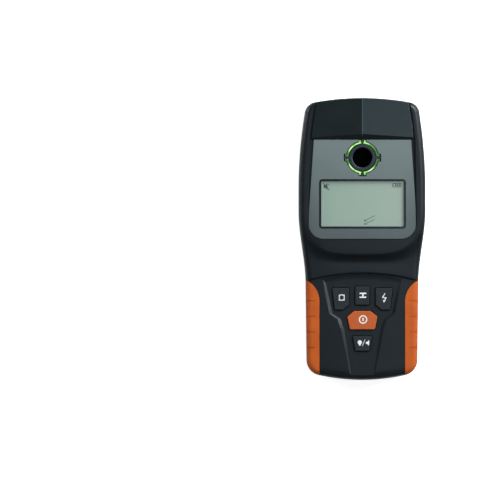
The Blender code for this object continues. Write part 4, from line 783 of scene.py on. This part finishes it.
window = dict(half=0.03035, top=0.04185, foot=0.0075, radius=0.0020, flange=0.0012, flangeThick=0.0007,
              pocket=0.0324, low=0.0327, high=0.0347, margin=0.00105, border=0.00130, displayRadius=0.0008,
              displayLow=0.0302, signs=(0.03238, 0.03244))

satinGrey = newMaterial("satinGreyPaint", {specular: 0.45}, facePaint)
clearLens = newMaterial("clearLens", {"IOR": 1.49}, lensPaint)
ringGlow = newMaterial("ringGlow", {specular: 0.5, "Emission Strength": 1.0}, glowPaint)

roof = dict(margin=0.0069, groove=0.0009, endMargin=0.0008, gap=0.0004, run=1.2, ridge=0.0379,
            sideFall=0.0021, endFall=0.0008, steps=20, edge=0.00030)

channel = dict(topHalf=0.0289, ramp=0.0046, draft=0.0032, footDraft=0.0021, underArc=0.0008,
               points=((0.0046, 0.0287), (0.0104, 0.0325), (0.0129, 0.0399)), foot=0.0195, steps=28)

arc = dict(y=-0.0242, fall=0.0047, half=0.0400)


def arcAt(x):
    return arc["y"] - arc["fall"] * (x / arc["half"]) ** 2


def plateOutline(grow=0.0, count=12):
    right = [(plate["footHalf"], 0.0), (plate["bendHalf"], plate["bend"]), (plate["topHalf"], plate["topY"])]
    radii = [plate["radius"], plate["radius"], plate["topRadius"]]
    return rounded(mirrored(right), radii + radii[::-1], grow, count)


def windowOutline(inset=0.0, grow=0.0, radius=None, count=8):
    half, top, foot = window["half"] - inset, window["top"] - inset, window["foot"] + inset
    corners = mirrored([(half, foot), (half, top)])
    return rounded(corners, [radius or window["radius"]] * 4, grow, count)


def headEndY(x):
    return body["headEnd"] - body["headCrown"] + sqrt(body["headCrown"] ** 2 - x * x)


def roofOutline(frontY):
    margin, steps = roof["endMargin"], roof["steps"]
    lastY = headEndY(halfWidth(body["headEnd"]) - roof["margin"]) - margin
    half = []
    for k in range(steps + 1):
        y = mix(frontY, lastY - margin, k / steps)
        half.append((halfWidth(y) - roof["margin"], y))
    cornerX = half[-1][0] - margin
    for k in range(steps):
        x = cornerX * (1 - k / steps)
        half.append((x, headEndY(x) - margin))
    return half


def pocketOutline(grow=0.0, steps=24):
    # the plate's seat and the roof's surround above it, open at the head end
    upTo = plate["topY"] - plate["topRadius"] - grow
    right = [(x, y) for x, y in plateOutline(cutGap + grow) if x > 0 and y < upTo]
    for k in range(steps + 1):
        y = mix(plate["topY"], body["headEnd"], k / steps)
        right.append((halfWidth(y) - roof["margin"] + roof["groove"] + grow, y))
    return mirrored(right + [(right[-1][0], beyond)])


def channelRing(z, ramp=0.0, draft=0.0, footDraft=0.0):
    topX = channel["topHalf"] - draft
    footX = channel["topHalf"] - footDraft - channel["foot"]
    right = [(footX, -beyond), (footX, body["footEnd"])]
    right += [(topX - inward, arc["y"] - down) for inward, down in reversed(channel["points"])]
    for k in range(channel["steps"]):
        x = topX * (1 - k / channel["steps"])
        right.append((x, arcAt(x) - channel["underArc"] - ramp))
    return [(x, y, z) for x, y in mirrored(right, [(0.0, arc["y"] - channel["underArc"] - ramp)])]


def innerWall(row):
    # thicker behind the grips than in the head
    (_, y, outX, _), _ = row
    down = (body["neckTopY"] - y) / (body["neckTopY"] - body["neckFootY"])
    return body["wall"] + body["gripWall"] * ease(down) * ease(outX * 1.2)


def ceilingAt(row):
    (_, y, _, _), _ = row
    return mix(body["headCeiling"], body["gripCeiling"], ease(2 * y / arc["y"]))


screws = dict(places=[(-0.0350, 0.070), (0.0350, 0.070), (-0.0313, -0.062), (0.0313, -0.062)], radius=0.0015,
              headRadius=0.0027, headLow=0.0078, headTop=0.0096, tip=0.0221, tipRoom=0.0014, boss=0.0033,
              post=0.0042, well=0.0030, postTop=0.0120, ledge=0.0099, thread=0.0010, core=0.8, turn=0.7,
              crossHalf=0.00035, crossReach=0.0015)

keys = dict(foot=0.0271, flange=0.0008, top=0.0314, lip=0.0008, clearance=0.0003, corner=0.0008, edge=0.0005,
            inner=0.0093, outer=0.0215, taper=0.0019, cut=0.0043, signs=(0.03136, 0.03143))


def keyCorners():
    inner, outer, y = keys["inner"], keys["outer"], arc["y"]
    right = [(inner + keys["cut"], y - 0.0260), (outer - keys["taper"], y - 0.0260), (outer, y - 0.0105),
             (inner, y - 0.0105), (inner, y - 0.0225)]
    return {
        "left": [(-px, py) for px, py in reversed(right)],
        "middle": mirrored([(0.00505, y - 0.0225), (0.00505, y - 0.0094)]),
        "right": right,
        "power": mirrored([(0.0088, y - 0.0399), (0.0107, y - 0.0308), (0.0057, y - 0.0268)]),
        "lower": mirrored([(0.0050, y - 0.0551), (0.0070, y - 0.0446)]),
    }


def keyOutline(corners, grow):
    return rounded(corners, [keys["corner"]] * len(corners), grow, 6)


def frontShell():
    seam, edge = body["seam"] + cutGap, body["seamEdge"]
    rebate = seam + body["lipHeight"]
    inside = body["lipInset"] - cutGap
    rings = [around(lambda row: innerWall(row) + body["inside"], ceilingAt),
             around(innerWall, lambda row: ceilingAt(row) - body["inside"]), around(innerWall, rebate),
             around(inside, rebate), around(inside, seam), around(edge, seam), around(0.0, seam + edge)]
    shell = newPiece("frontShell", skinned(rings + faceRings(0.0, 0.0), body["columns"], True), blackPlastic)
    bosses = []
    for x, y in screws["places"]:
        ceiling = body["headCeiling"] if y > arc["y"] else body["gripCeiling"]
        bosses.append(prism(circle(x, y, screws["boss"], 24), screws["postTop"] + cutGap, ceiling + cutGap))
    combine(shell, together(bosses), "UNION")
    # the pocket's upper edge and the keys' openings are widened at the top, as a mould's edges are rounded
    rim = body["rim"]
    combine(shell, layers(pocketOutline, [(0.0, plate["seat"]), (0.0, rim - 0.0004), (0.00035, rim - 0.00005),
                                          (0.0006, rim + 0.0006), (0.0006, high)]))
    bed = channelRing(body["channel"], channel["ramp"], channel["draft"], channel["footDraft"])
    combine(shell, lofted([bed, channelRing(body["land"]), channelRing(high)]))
    combine(shell, prism(windowOutline(grow=window["flange"]), window["pocket"], plate["seat"] + cutGap))
    under = body["gripCeiling"]
    openings = [prism(windowOutline(window["margin"], cutGap, window["displayRadius"]), under, high),
                prism(circle(0.0, marking["y"], marking["ringOuter"] + cutGap), under, high)]
    room, floor = keys["clearance"], body["channel"]
    for corners in keyCorners().values():
        openings.append(layers(lambda grow, corners=corners: keyOutline(corners, grow),
                               [(room, keys["foot"]), (room, floor - 0.0002), (room + 0.0003, floor + 0.0001),
                                (room + 0.0003, high)]))
    for x, y in screws["places"]:
        hole = circle(x, y, screws["radius"] + cutGap, 16)
        openings.append(prism(hole, below, screws["tip"] + screws["tipRoom"]))
    return combine(shell, together(openings))


shell = frontShell()
print("front shell done")


def roofPanel():
    frontY = plate["topY"] + roof["gap"]
    frontX = halfWidth(frontY) - roof["margin"]
    ridgeY = frontY + roof["run"] * (roof["ridge"] - plate["top"])
    endY = headEndY(0.0) - roof["endMargin"]
    fall = roof["endFall"] / (endY - ridgeY)
    rise = roof["ridge"] - roof["sideFall"] - plate["top"] + fall * (ridgeY - frontY)
    half = roofOutline(frontY + roof["run"] * rise / (1 + fall * roof["run"]))
    sideX = half[0][0]

    def height(x, y):
        return roof["ridge"] - roof["sideFall"] * abs(x) / sideX - fall * (y - ridgeY)

    bm = bmesh.new()
    right = [(frontX, frontY, plate["top"])] + [(x, y, height(x, y)) for x, y in half]
    points = mirrored(right, [(0.0, endY, height(0.0, endY))])
    top = [bm.verts.new(point) for point in points]
    low = [bm.verts.new((x, y, window["pocket"])) for x, y, _ in points]
    bridge(bm, low, top)
    bm.faces.new(low)
    ridge = bm.verts.new((0.0, ridgeY, roof["ridge"]))
    count = len(right)
    bm.faces.new([ridge] + top[1:count + 1])
    bm.faces.new([ridge] + top[count:-1])
    bm.faces.new([top[0], top[1], ridge, top[-2], top[-1]])
    panel = softenEdges(newPiece("roofPanel", bm, roofPlastic), roof["edge"], 3, 4)
    return smoothEdges(panel, 25, merge=0.000005)


finished(roofPanel(), "body_black")


def plusOutline(armHalf, reach, y):
    right = [(armHalf, -reach), (armHalf, -armHalf), (reach, -armHalf), (reach, armHalf), (armHalf, armHalf),
             (armHalf, reach)]
    return [(x, y + dy) for x, dy in mirrored(right)]


def facePlate():
    y = marking["y"]
    piece = newPiece("facePlate", prism(plateOutline(), plate["low"], plate["top"]), satinGrey)
    notch = marking["armHalf"] + cutGap + marking["hookWidth"] + plate["ringRoom"]
    for outline in (windowOutline(), circle(0.0, y, marking["ringOuter"] + plate["ringRoom"]),
                    plusOutline(notch, marking["armReach"] + cutGap, y)):
        combine(piece, prism(outline, below, high))
    return smoothEdges(softenEdges(piece, plate["edge"]), 25)


finished(facePlate(), "plate_grey", "face_plate")


def lens():
    flange = window["flange"] - cutGap
    ledge = window["low"] + window["flangeThick"]
    top = window["high"]   # its edge is rounded by the last steps
    bm = layers(lambda grow: windowOutline(grow=grow),
                [(flange, window["low"]), (flange, ledge), (-cutGap, ledge), (-cutGap, top - 0.00015),
                 (-cutGap - 0.00005, top - 0.00005), (-cutGap - 0.00015, top)])
    return smoothEdges(newPiece("lens", bm, clearLens), 40)


finished(lens(), "clear_lens", "lcd_window")


def display():
    bm = prism(windowOutline(window["margin"], 0.0, window["displayRadius"]), window["displayLow"],
               window["pocket"])
    return smoothEdges(softenEdges(newPiece("display", bm, displayFoil), 0.00010, 2, 60))


finished(display(), "display_glass", "lcd_panel")


def displaySigns():
    # struck-out speaker, charge sign and two depth marks, raised a hair from the glass
    at, (low, top) = (-25.4, 37.0), window["signs"]
    cell = [(21.6, 36.7), (27.2, 36.7), (27.2, 39.1), (21.6, 39.1)]
    speaker = [(-2.0, -0.9), (-0.9, -0.9), (0.7, -2.2), (0.7, 2.2), (-0.9, 0.9), (-2.0, 0.9)]
    parts = [patch((low, top), speaker, at),
             stroke((low, top + 0.00002), 0.00055, [(-2.2, 2.4), (2.0, -2.5)], at),
             stroke((low, top), 0.0004, [(1.3, 0.9), (1.9, 1.9)], at),
             stroke((low, top), 0.00045, cell, closed=True),
             patch((low, top), [(21.0, 37.5), (21.4, 37.5), (21.4, 38.3), (21.0, 38.3)])]
    for x in (23.1, 24.4, 25.7):
        parts.append(patch((low, top), [(x, 37.2), (x + 0.85, 37.2), (x + 0.85, 38.6), (x, 38.6)]))
    for x, y, rise in ((1.5, 12.7, 3.8), (1.5, 10.3, 3.6)):
        parts.append(stroke((low, top), 0.00036, [(x, y), (x + 7.3, y + rise)]))
        parts.append(stroke((low, top + 0.00001), 0.00036, [(x + 0.1, y + 1.3), (x, y), (x + 1.5, y - 0.1)]))
    return newPiece("displaySigns", together(parts), segmentInk)


finished(displaySigns(), "display_glass")
print("roof, plate and display done")


def markingCollar():
    top, y, disc = marking["top"], marking["y"], marking["disc"]
    underDisc = top - marking["discThick"]
    profile = [(marking["sleeve"], body["back"]), (marking["sleeve"], underDisc), (disc, underDisc),
               (disc, top - 0.0003), (disc - 0.0001, top - 0.0001), (disc - 0.0003, top)]
    piece = newPiece("markingCollar", turned(0.0, y, profile, 128), collarPlastic)
    # the arms' top lies a hair under the disc's
    arms = plusOutline(marking["armHalf"], marking["armReach"], y)
    combine(piece, prism(arms, plate["low"], top - 0.0001), "UNION")
    bore, edge = marking["bore"], marking["boreEdge"]
    steps = [(bore + edge * out, top - edge * down) for out, down in quarterTurn(4)]
    combine(piece, turned(0.0, y, [(bore, below)] + steps + [(bore + edge, high)], 128))
    return smoothEdges(softenEdges(piece, 0.00012, 2, 60))


finished(markingCollar(), "collar_black", "marking_collar")


def hookedArc(hook=0.07):
    # a path that runs round a quarter of the hole and turns outwards at both ends
    tree, start, given, ids = geometryTree("hooked arc", Radius="Float", Reach="Float", Width="Float",
                                           Height="Float", Open="Float", Finish="Material")
    line = start.node("GeometryNodeCurvePrimitiveLine")
    path = start.node("GeometryNodeResampleCurve", None, {"Curve": line, "Count": 65})
    along = start.node("GeometryNodeSplineParameter", None, None, "Factor")
    inner = ((along - hook) / (1.0 - 2.0 * hook)).larger(0.0).smaller(1.0)
    angle = given["Open"] + inner * (pi / 2 - 2.0 * given["Open"])
    out = ((hook - along) / hook).larger(0.0) + ((along - (1.0 - hook)) / hook).larger(0.0)
    # the hooks run straight out beside the arms, so their ends keep their distance from the arm's line
    step = given["Radius"] + out * given["Reach"] - given["Radius"]
    place = start.node("ShaderNodeCombineXYZ", None, {
        "X": angle.maths("COSINE") * given["Radius"] + (inner < 0.5) * step,
        "Y": angle.maths("SINE") * given["Radius"] + (inner > 0.5) * step})
    bent = start.node("GeometryNodeSetPosition", None, {"Geometry": path, "Position": place})
    flat = start.node("GeometryNodeSetCurveNormal", {"mode": "Z_UP"}, {"Curve": bent})
    section = start.node("GeometryNodeCurvePrimitiveQuadrilateral", {"mode": "RECTANGLE"},
                         {"Width": given["Width"], "Height": given["Height"]})
    soft = start.node("GeometryNodeFilletCurve", {"mode": "POLY"},
                      {"Curve": section, "Radius": 0.00025, "Count": 3})
    solid = start.node("GeometryNodeCurveToMesh", None,
                       {"Curve": flat, "Profile Curve": soft, "Fill Caps": True})
    closeTree(start, solid, given["Finish"])
    return tree, ids


def lightRing():
    inner, outer, middle, top, face = (marking["ring" + name] for name in
                                       ("Inner", "Outer", "Middle", "Top", "Face"))
    sample = runTree(newPiece("arc", bmesh.new()), hookedArc(), Radius=middle, Width=outer - inner,
                     Height=face, Reach=marking["hookReach"] - middle + 0.0001,
                     Open=asin(marking["hook"] / middle), Finish=ringGlow)
    sample.data.transform(Matrix.Translation((0.0, 0.0, top - face / 2)))
    arcs = repeated("arcs", sample, [(0.0, marking["y"], 0.0)] * 4, ringGlow, pi / 2)
    # the tube under the arcs carries the light up from the lamps
    foot, top = marking["ringFoot"], top - face
    tube = bmesh.new()
    profile = [(inner, foot), (outer, foot), (outer, top), (inner, top)]
    loops = strung(tube, turnedRings(0.0, marking["y"], profile, 96))
    bridge(tube, loops[-1], loops[0])
    return smoothEdges(newPiece("lightRing", together([tube, takenApart(arcs)]), ringGlow), 40)


finished(lightRing(), "light_green", "light_ring")
print("marking hole done")

grip = dict(innerHalf=0.0303, tipRadius=0.0159, tipDown=0.0196, tipTurn=0.45, outside=0.09, thick=0.0018,
            low=0.0176, grooveWidth=0.0012, grooveDepth=0.0004, grooveReach=0.0065, firstGroove=0.0199,
            pitch=0.0110, grooves=4, grooveLow=0.0211)


def gripOutline(side, grow=0.0):
    inner, outside, radius = grip["innerHalf"], grip["outside"], grip["tipRadius"]
    tip = swept(inner + radius, arc["y"] - grip["tipDown"], radius + grow, pi,
                -pi * grip["tipTurn"], 32)
    outline = [(inner - grow, -beyond), *tip, (outside, tip[-1][1]), (outside, -beyond)]
    return [(side * x, y) for x, y in outline]


def grooveBars(side):
    reach = body["waistHalf"] - grip["grooveReach"]
    wide = grip["grooveWidth"] / 2
    bar = block(sorted((side * reach, side * grip["outside"])), (-wide, wide), (grip["grooveLow"], high))
    places = [(0.0, arc["y"] - grip["firstGroove"] - grip["pitch"] * k, 0.0) for k in range(grip["grooves"])]
    bars = repeated("grooves", newPiece("bar", bar), places)
    return takenApart(combine(bars, bodyBlank(grip["grooveDepth"], below)))


def sideGrip(side, name, node):
    piece = newPiece(name, bodyBlank(0.0, body["seam"]), gripRubber)
    combine(piece, prism(gripOutline(side), grip["low"], high), "INTERSECT")
    combine(piece, bodyBlank(grip["thick"], below))
    combine(piece, grooveBars(side))
    recess = newPiece("recess", prism(gripOutline(side, cutGap), grip["low"] - cutGap, high))
    combine(recess, bodyBlank(grip["thick"] + cutGap, below))
    combine(shell, takenApart(recess), "DIFFERENCE", "MANIFOLD")
    finished(smoothEdges(piece, 35, merge=0.00002), "grip_orange", node)


sideGrip(-1, "leftGrip", "left_grip")
sideGrip(1, "rightGrip", "right_grip")
finished(smoothEdges(shell, 19, merge=0.00002), "body_black", "front_shell")
print("grips done")


def keyCap(name, corners):
    shoulder, top, edge = keys["foot"] + keys["flange"], keys["top"], keys["edge"]
    steps = [(keys["lip"], keys["foot"]), (keys["lip"], shoulder), (0.0, shoulder)]
    steps += [(-edge * inward, top - edge * rise) for inward, rise in quarterTurn(6)]
    colour = "orange" if name == "power" else "black"
    bm = layers(lambda grow: keyOutline(corners, grow), steps)
    piece = smoothEdges(newPiece(name + "Key", bm, dict(orange=orangeKey, black=blackKey)[colour]), 40)
    finished(piece, "key_" + colour, "key_" + name, rides="key_" + name)


for name, corners in keyCorners().items():
    keyCap(name, corners)


def sign(name, *parts):
    finished(newPiece(name + "Sign", together(parts), whitePrint), "white_plastic", rides="key_" + name)


levels = keys["signs"]
corner = [(0.50, 1.95), (0.85, 1.55), (1.75, 1.85)]
sign("left", stroke(levels, 0.00054, mirrored(corner + [(x, -y) for x, y in reversed(corner)]),
                    (-14.55, -41.5), True))
sign("middle", patch(levels, mirrored([(2.35, -1.85), (2.35, -0.90), (0.5, -0.90), (0.5, 0.90), (2.35, 0.90),
                                       (2.35, 1.85)]), (0.40, -39.9)))
at = (15.8, -41.7)
sign("right", stroke(levels, 0.00062, [(0.20, 3.2), (-1.50, 0.25), (0.95, -0.05), (-0.15, -2.1)], at),
     patch(levels, [(-1.15, -1.35), (-0.75, -3.3), (0.85, -2.05)], at))
onBar = millimetres([(0.05, -58.2), (0.95, -58.2), (0.95, -55.8), (0.05, -55.8)])
sign("power", ribbon(circle(0.0005, -0.0570, 0.0026, 64), 0.00076, *levels, True),
     prism(rounded(onBar, [0.0003] * 4), *levels))
sign("lower", prism(circle(-0.0018, -0.0731, 0.00150, 40), *levels),
     patch(levels, [(-2.5, -75.4), (-1.1, -75.4), (-1.1, -74.5), (-2.5, -74.5)]),
     stroke(levels, 0.00036, [(0.05, -75.6), (1.85, -71.2)]),
     patch(levels, [(2.5, -74.2), (3.3, -74.2), (4.8, -75.5), (4.8, -71.5), (3.3, -72.8), (2.5, -72.8)]))
print("keys done")

battery = dict(room=0.0139, wall=0.0015, sideWall=0.0020, foot=-0.0951, end=-0.0428, top=0.0225, inner=0.0210,
               wireZ=0.01195, wireHalf=0.0061, wireTall=0.0021)
cover = dict(half=0.0156, lip=0.0171, lipLow=0.0019, top=0.0029, end=-0.0431, railWall=0.0022, railTop=0.0023,
             ribs=5, ribFrom=-0.0860, ribPitch=0.0022, ribWidth=0.0120, ribDeep=0.0006)
glides = dict(places=[(-0.0260, 0.0860, 0), (0.0260, 0.0860, 0), (-0.0270, -0.0830, 1), (0.0270, -0.0830, 1)],
              length=0.0160, width=0.0060, top=0.0011, sink=0.0014)
rests = dict(boardX=0.0260, boardY=0.0070, boardRadius=0.0025, sensorX=0.0250, sensorYs=(0.0820, 0.0260),
             sensorRadius=0.0022, sensorTall=0.0007)


def backRings():
    radius = body["backRadius"]
    rings = [around(body["backDraft"] + radius * inward, body["back"] + radius * up)
             for up, inward in quarterTurn(body["edgeSteps"])]
    rings.append(around(body["seamInset"], body["seam"] - body["seamEdge"]))
    rings.append(around(body["seamInset"] + body["seamEdge"], body["seam"]))
    return rings


def coverShape(grow):
    outer, lip, low = cover["half"] + grow, cover["lip"] + grow, cover["lipLow"] - grow
    outline = mirrored([(outer, below), (outer, low), (lip, low), (lip, cover["top"] + grow)])
    return lofted([[(x, y, z) for x, z in outline] for y in (-beyond, cover["end"] + grow)])


def glideOutline(place, grow):
    x, y, upright = place
    long, short = glides["length"] / 2, glides["width"] / 2
    dx, dy = (short, long) if upright else (long, short)
    corners = [(x - dx, y - dy), (x + dx, y - dy), (x + dx, y + dy), (x - dx, y + dy)]
    return rounded(corners, [short] * 4, grow, 10)


def rearShell():
    wall, floor, back, lip = body["wall"], body["floor"], body["back"], body["seam"] + body["lipHeight"]
    draft, inset = body["backDraft"], body["lipInset"]
    rings = backRings() + [around(inset, body["seam"]), around(inset, lip), around(wall, lip),
                           around(draft + wall, floor + wall), around(draft + 2 * wall, floor)]
    piece = newPiece("rearShell", skinned(rings), backPlastic)
    sunk = back + wall / 2
    room, foot, end = battery["room"], battery["foot"], battery["end"]
    boxHalf, boxEnd = room + battery["sideWall"], end + battery["sideWall"]
    rail = cover["lip"] + cutGap + cover["railWall"]
    for half, start, top in ((boxHalf, foot - battery["wall"], battery["top"]),
                             (rail, body["footEnd"] + wall, cover["top"] + cover["railTop"])):
        combine(piece, block((-half, half), (start, boxEnd), (sunk, top)), "UNION")
    posts = [prism(circle(x, y, screws["post"], 40), sunk, screws["postTop"]) for x, y in screws["places"]]
    for side in (-1, 1):
        boardRest = circle(side * rests["boardX"], rests["boardY"], rests["boardRadius"], 32)
        posts.append(prism(boardRest, sunk, battery["top"]))
        for y in rests["sensorYs"]:
            sensorRest = circle(side * rests["sensorX"], y, rests["sensorRadius"], 32)
            posts.append(prism(sensorRest, sunk, floor + rests["sensorTall"]))
    combine(piece, together(posts), "UNION")
    combine(piece, block((-room, room), (foot, end), (cover["top"], battery["inner"])))
    combine(piece, coverShape(cutGap), "DIFFERENCE", "MANIFOLD")
    half, z, tall = battery["wireHalf"], battery["wireZ"], battery["wireTall"]
    cuts = [block((-half, half), (end - cutGap, boxEnd + cutGap), (z - tall, z + tall)),
            prism(circle(0.0, marking["y"], marking["sleeve"] + cutGap, 128), below, high)]
    well, hole, ledge = screws["well"], screws["radius"] + cutGap, screws["ledge"]
    for x, y in screws["places"]:
        cuts.append(turned(x, y, [(well + 0.0003, below), (well + 0.0003, back), (well, back + 0.0003),
                                  (well, ledge), (hole, ledge), (hole, high)], 40))
    for place in glides["places"]:
        cuts.append(prism(glideOutline(place, cutGap), below, glides["sink"]))
    return smoothEdges(combine(piece, together(cuts)), 30, merge=0.000008)


finished(rearShell(), "body_black", "rear_shell")
print("back shell done")


def batteryCover():
    piece = newPiece("batteryCover", skinned(backRings()), backPlastic)
    combine(piece, coverShape(0.0), "INTERSECT", "MANIFOLD")
    deep, half, back = cover["ribDeep"], cover["ribWidth"] / 2, body["back"]
    groove = layers(lambda grow: rounded(mirrored([(half + grow, -deep - grow), (half + grow, deep + grow)]),
                                         [deep * 0.2] * 4, 0.0, 3),
                    [(0.0, -0.005), (0.0, back + 0.00005), (-deep * 0.7, back + deep)])
    places = [(0.0, cover["ribFrom"] + cover["ribPitch"] * k, 0.0) for k in range(cover["ribs"])]
    combine(piece, takenApart(repeated("ribs", newPiece("rib", groove), places)))
    return smoothEdges(piece, 30, merge=0.000008)


finished(batteryCover(), "body_black", "battery_cover", rides="battery_cover")


def glidePads():
    steps = [(-0.0003, 0.0), (-0.0001, 0.00008), (0.0, 0.0003), (0.0, glides["top"])]
    parts = [layers(lambda grow, place=place: glideOutline(place, grow), steps) for place in glides["places"]]
    return smoothEdges(newPiece("glidePads", together(parts), glideFelt), 50)


finished(glidePads(), "felt_grey", *("glide_pad_%d" % k for k in range(1, 5)))


def oneScrew():
    low, head, tip = screws["headLow"], screws["headTop"], screws["tip"]
    radius, headRadius, core = screws["radius"], screws["headRadius"], screws["radius"] * screws["core"]
    profile = [(headRadius * share, low + up) for share, up in ((0.55, 0.0), (0.86, 0.00025), (0.99, 0.0008))]
    profile += [(headRadius, head - 0.0002), (headRadius - 0.0002, head), (core, head)]
    # the threads stand on the core up to the point
    z = head + 0.0006
    while z < tip - 0.0026:
        profile += [(core, z), (radius, z + 0.00035), (core, z + 0.0007)]
        z += screws["thread"]
    profile += [(core, tip - 0.0020), (radius * 0.12, tip)]
    screw = newPiece("screw", turned(0.0, 0.0, profile, 32), zincSteel)
    plus = plusOutline(screws["crossHalf"], screws["crossReach"], 0.0)
    recess = [[(x * s, y * s, z) for x, y in plus] for s, z in ((1.1, low - 0.001), (0.8, low + 0.0011))]
    return smoothEdges(combine(screw, lofted(recess)), 35)


places = [(x, y, 0.0) for x, y in screws["places"]]
finished(repeated("screws", oneScrew(), places, zincSteel, screws["turn"]), "screw_steel",
         *("screw_%d" % k for k in range(1, 5)))
print("back done")


def fromSolid(node, name, material, slot, edge=None, degrees=30):
    # what lies inside keeps the solid's own shape, with softened edges
    mesh = nodes[node].data.copy()
    mesh.materials.clear()
    piece = smoothEdges(placed(name, mesh, material), degrees, merge=0.000005)
    if edge:
        smoothEdges(softenEdges(piece, edge), degrees)
    finished(piece, slot, node)


fromSolid("battery", "batteryCan", batteryFoil, "battery_case", 0.0003)
fromSolid("battery_snap", "batterySnap", chipPlastic, "chip_black", 0.0002)
fromSolid("main_board", "mainBoard", boardMask, "board_green")
fromSolid("sensor_board", "sensorBoard", boardMask, "board_green")
fromSolid("processor", "processorChip", chipPlastic, "chip_black", 0.00015)
fromSolid("buzzer", "buzzerCan", chipPlastic, "chip_black", 0.0002)
fromSolid("coil_bobbin", "coilBobbin", creamPlastic, "bobbin_cream")
fromSolid("sensor_coil", "sensorCoil", copperWinding, "copper_wire")
fromSolid("lcd_frame", "displayFrame", innerPlastic, "white_plastic", 0.00015)
fromSolid("wire_positive", "redLead", redPlastic, "wire_red", None, 40)
fromSolid("wire_negative", "blackLead", chipPlastic, "chip_black", None, 40)
for k in range(1, 5):
    fromSolid("led_%d" % k, "lamp%d" % k, ringGlow, "led_clear")
for name in keyCorners():
    fromSolid("switch_" + name, name + "Switch", contactSteel, "switch_steel", 0.0001)
print("inside done")


def paperPaint(place):
    # pale paper that shines a little to the camera, with a painted shadow that makes it dark where it is seen
    # through the marking hole
    x, y, _ = place.axes()
    # painted shadow: this mask marks the paper under the marking hole
    away = (x ** 2.0 + (y - marking["y"]) ** 2.0) ** 0.5 > marking["shade"]
    paper = place.noise(0.004, 3.0, 0.6).between((0.78, 0.78, 0.78), (0.80, 0.80, 0.80))
    made = place.tree.nodes
    surface = Wire(place.tree, made["Principled BSDF"].outputs[0])
    lift = place.node("ShaderNodeEmission", None, {"Color": (1.0, 1.0, 1.0), "Strength": 0.86})
    both = place.node("ShaderNodeAddShader", None, {0: surface, 1: lift})
    seen = place.node("ShaderNodeLightPath", None, None, "Is Camera Ray")
    chosen = place.node("ShaderNodeMixShader", None, {0: seen * away, 1: surface, 2: both})
    place.plug(made["Material Output"].inputs["Surface"], chosen)
    # painted shadow: near-black paper under the marking hole
    return {"Base Color": away.between((0.03, 0.03, 0.035), paper)}


paperFloor = newMaterial("paperFloor", {"Roughness": 0.9, specular: 0.0}, paperPaint)
wide = (-3.0, 3.0)   # ends far outside the picture
newPiece("paper", block(wide, wide, (-0.02, 0.0)), paperFloor)

# the object stands left of the camera's axis, as the photograph shows it, at level's height in true size
view = dict(middle=(-0.0865, -0.0008), height=5.0, level=0.022, width=0.3400, sensor=36.0)
lensData = bpy.data.cameras.new("camera")
lensData.lens = view["sensor"] * (view["height"] - view["level"]) / view["width"]
lensData.sensor_width = view["sensor"]
lensData.clip_start = 0.1
camera = bpy.data.objects.new("camera", lensData)
camera.location = (*view["middle"], view["height"])
scene.collection.objects.link(camera)
scene.camera = camera

lights = dict(   # place, size, power and tint of each soft box
    keyLight=((0.62, 0.95, 1.20), (0.55, 0.55), 18.5, (0.95, 1.0, 1.03)),
    sideLight=((0.95, 0.44, 1.21), (0.38, 0.38), 10.0, (0.95, 1.0, 1.03)),
    cornerLight=((1.00, 1.10, 0.66), (0.45, 0.45), 7.0, (0.95, 1.0, 1.03)),
    roofLight=((0.40, 0.0, 1.60), (0.56, 0.80), 1.6, (0.74, 1.0, 1.12)),
    leftLight=((-1.40, 0.66, 0.50), (0.50, 0.45), 9.0, (0.95, 1.0, 1.0)),
    edgeLight=((1.42, 0.60, 0.36), (0.50, 0.34), 5.5, (0.95, 1.0, 1.0)))
for name, (place, size, power, tint) in lights.items():
    lamp = bpy.data.lights.new(name, "AREA")
    lamp.shape = "RECTANGLE"
    lamp.size, lamp.size_y = size
    lamp.energy, lamp.color = power, tint
    box = bpy.data.objects.new(name, lamp)
    box.location = place
    box.rotation_euler = (Vector((0.0, 0.0, 0.02)) - Vector(place)).to_track_quat("-Z", "Y").to_euler()
    scene.collection.objects.link(box)

world = bpy.data.worlds.new("room")
world.use_nodes = True
scene.world = world
backdrop = world.node_tree.nodes["Background"]
backdrop.inputs["Color"].default_value = (1.0, 1.0, 1.0, 1.0)
seen = Wire(world.node_tree).node("ShaderNodeLightPath", None, None, "Is Camera Ray")
seen.plug(backdrop.inputs["Strength"], 0.12 + seen * 0.88)

scene.view_settings.view_transform = "Standard"
print("stage done")
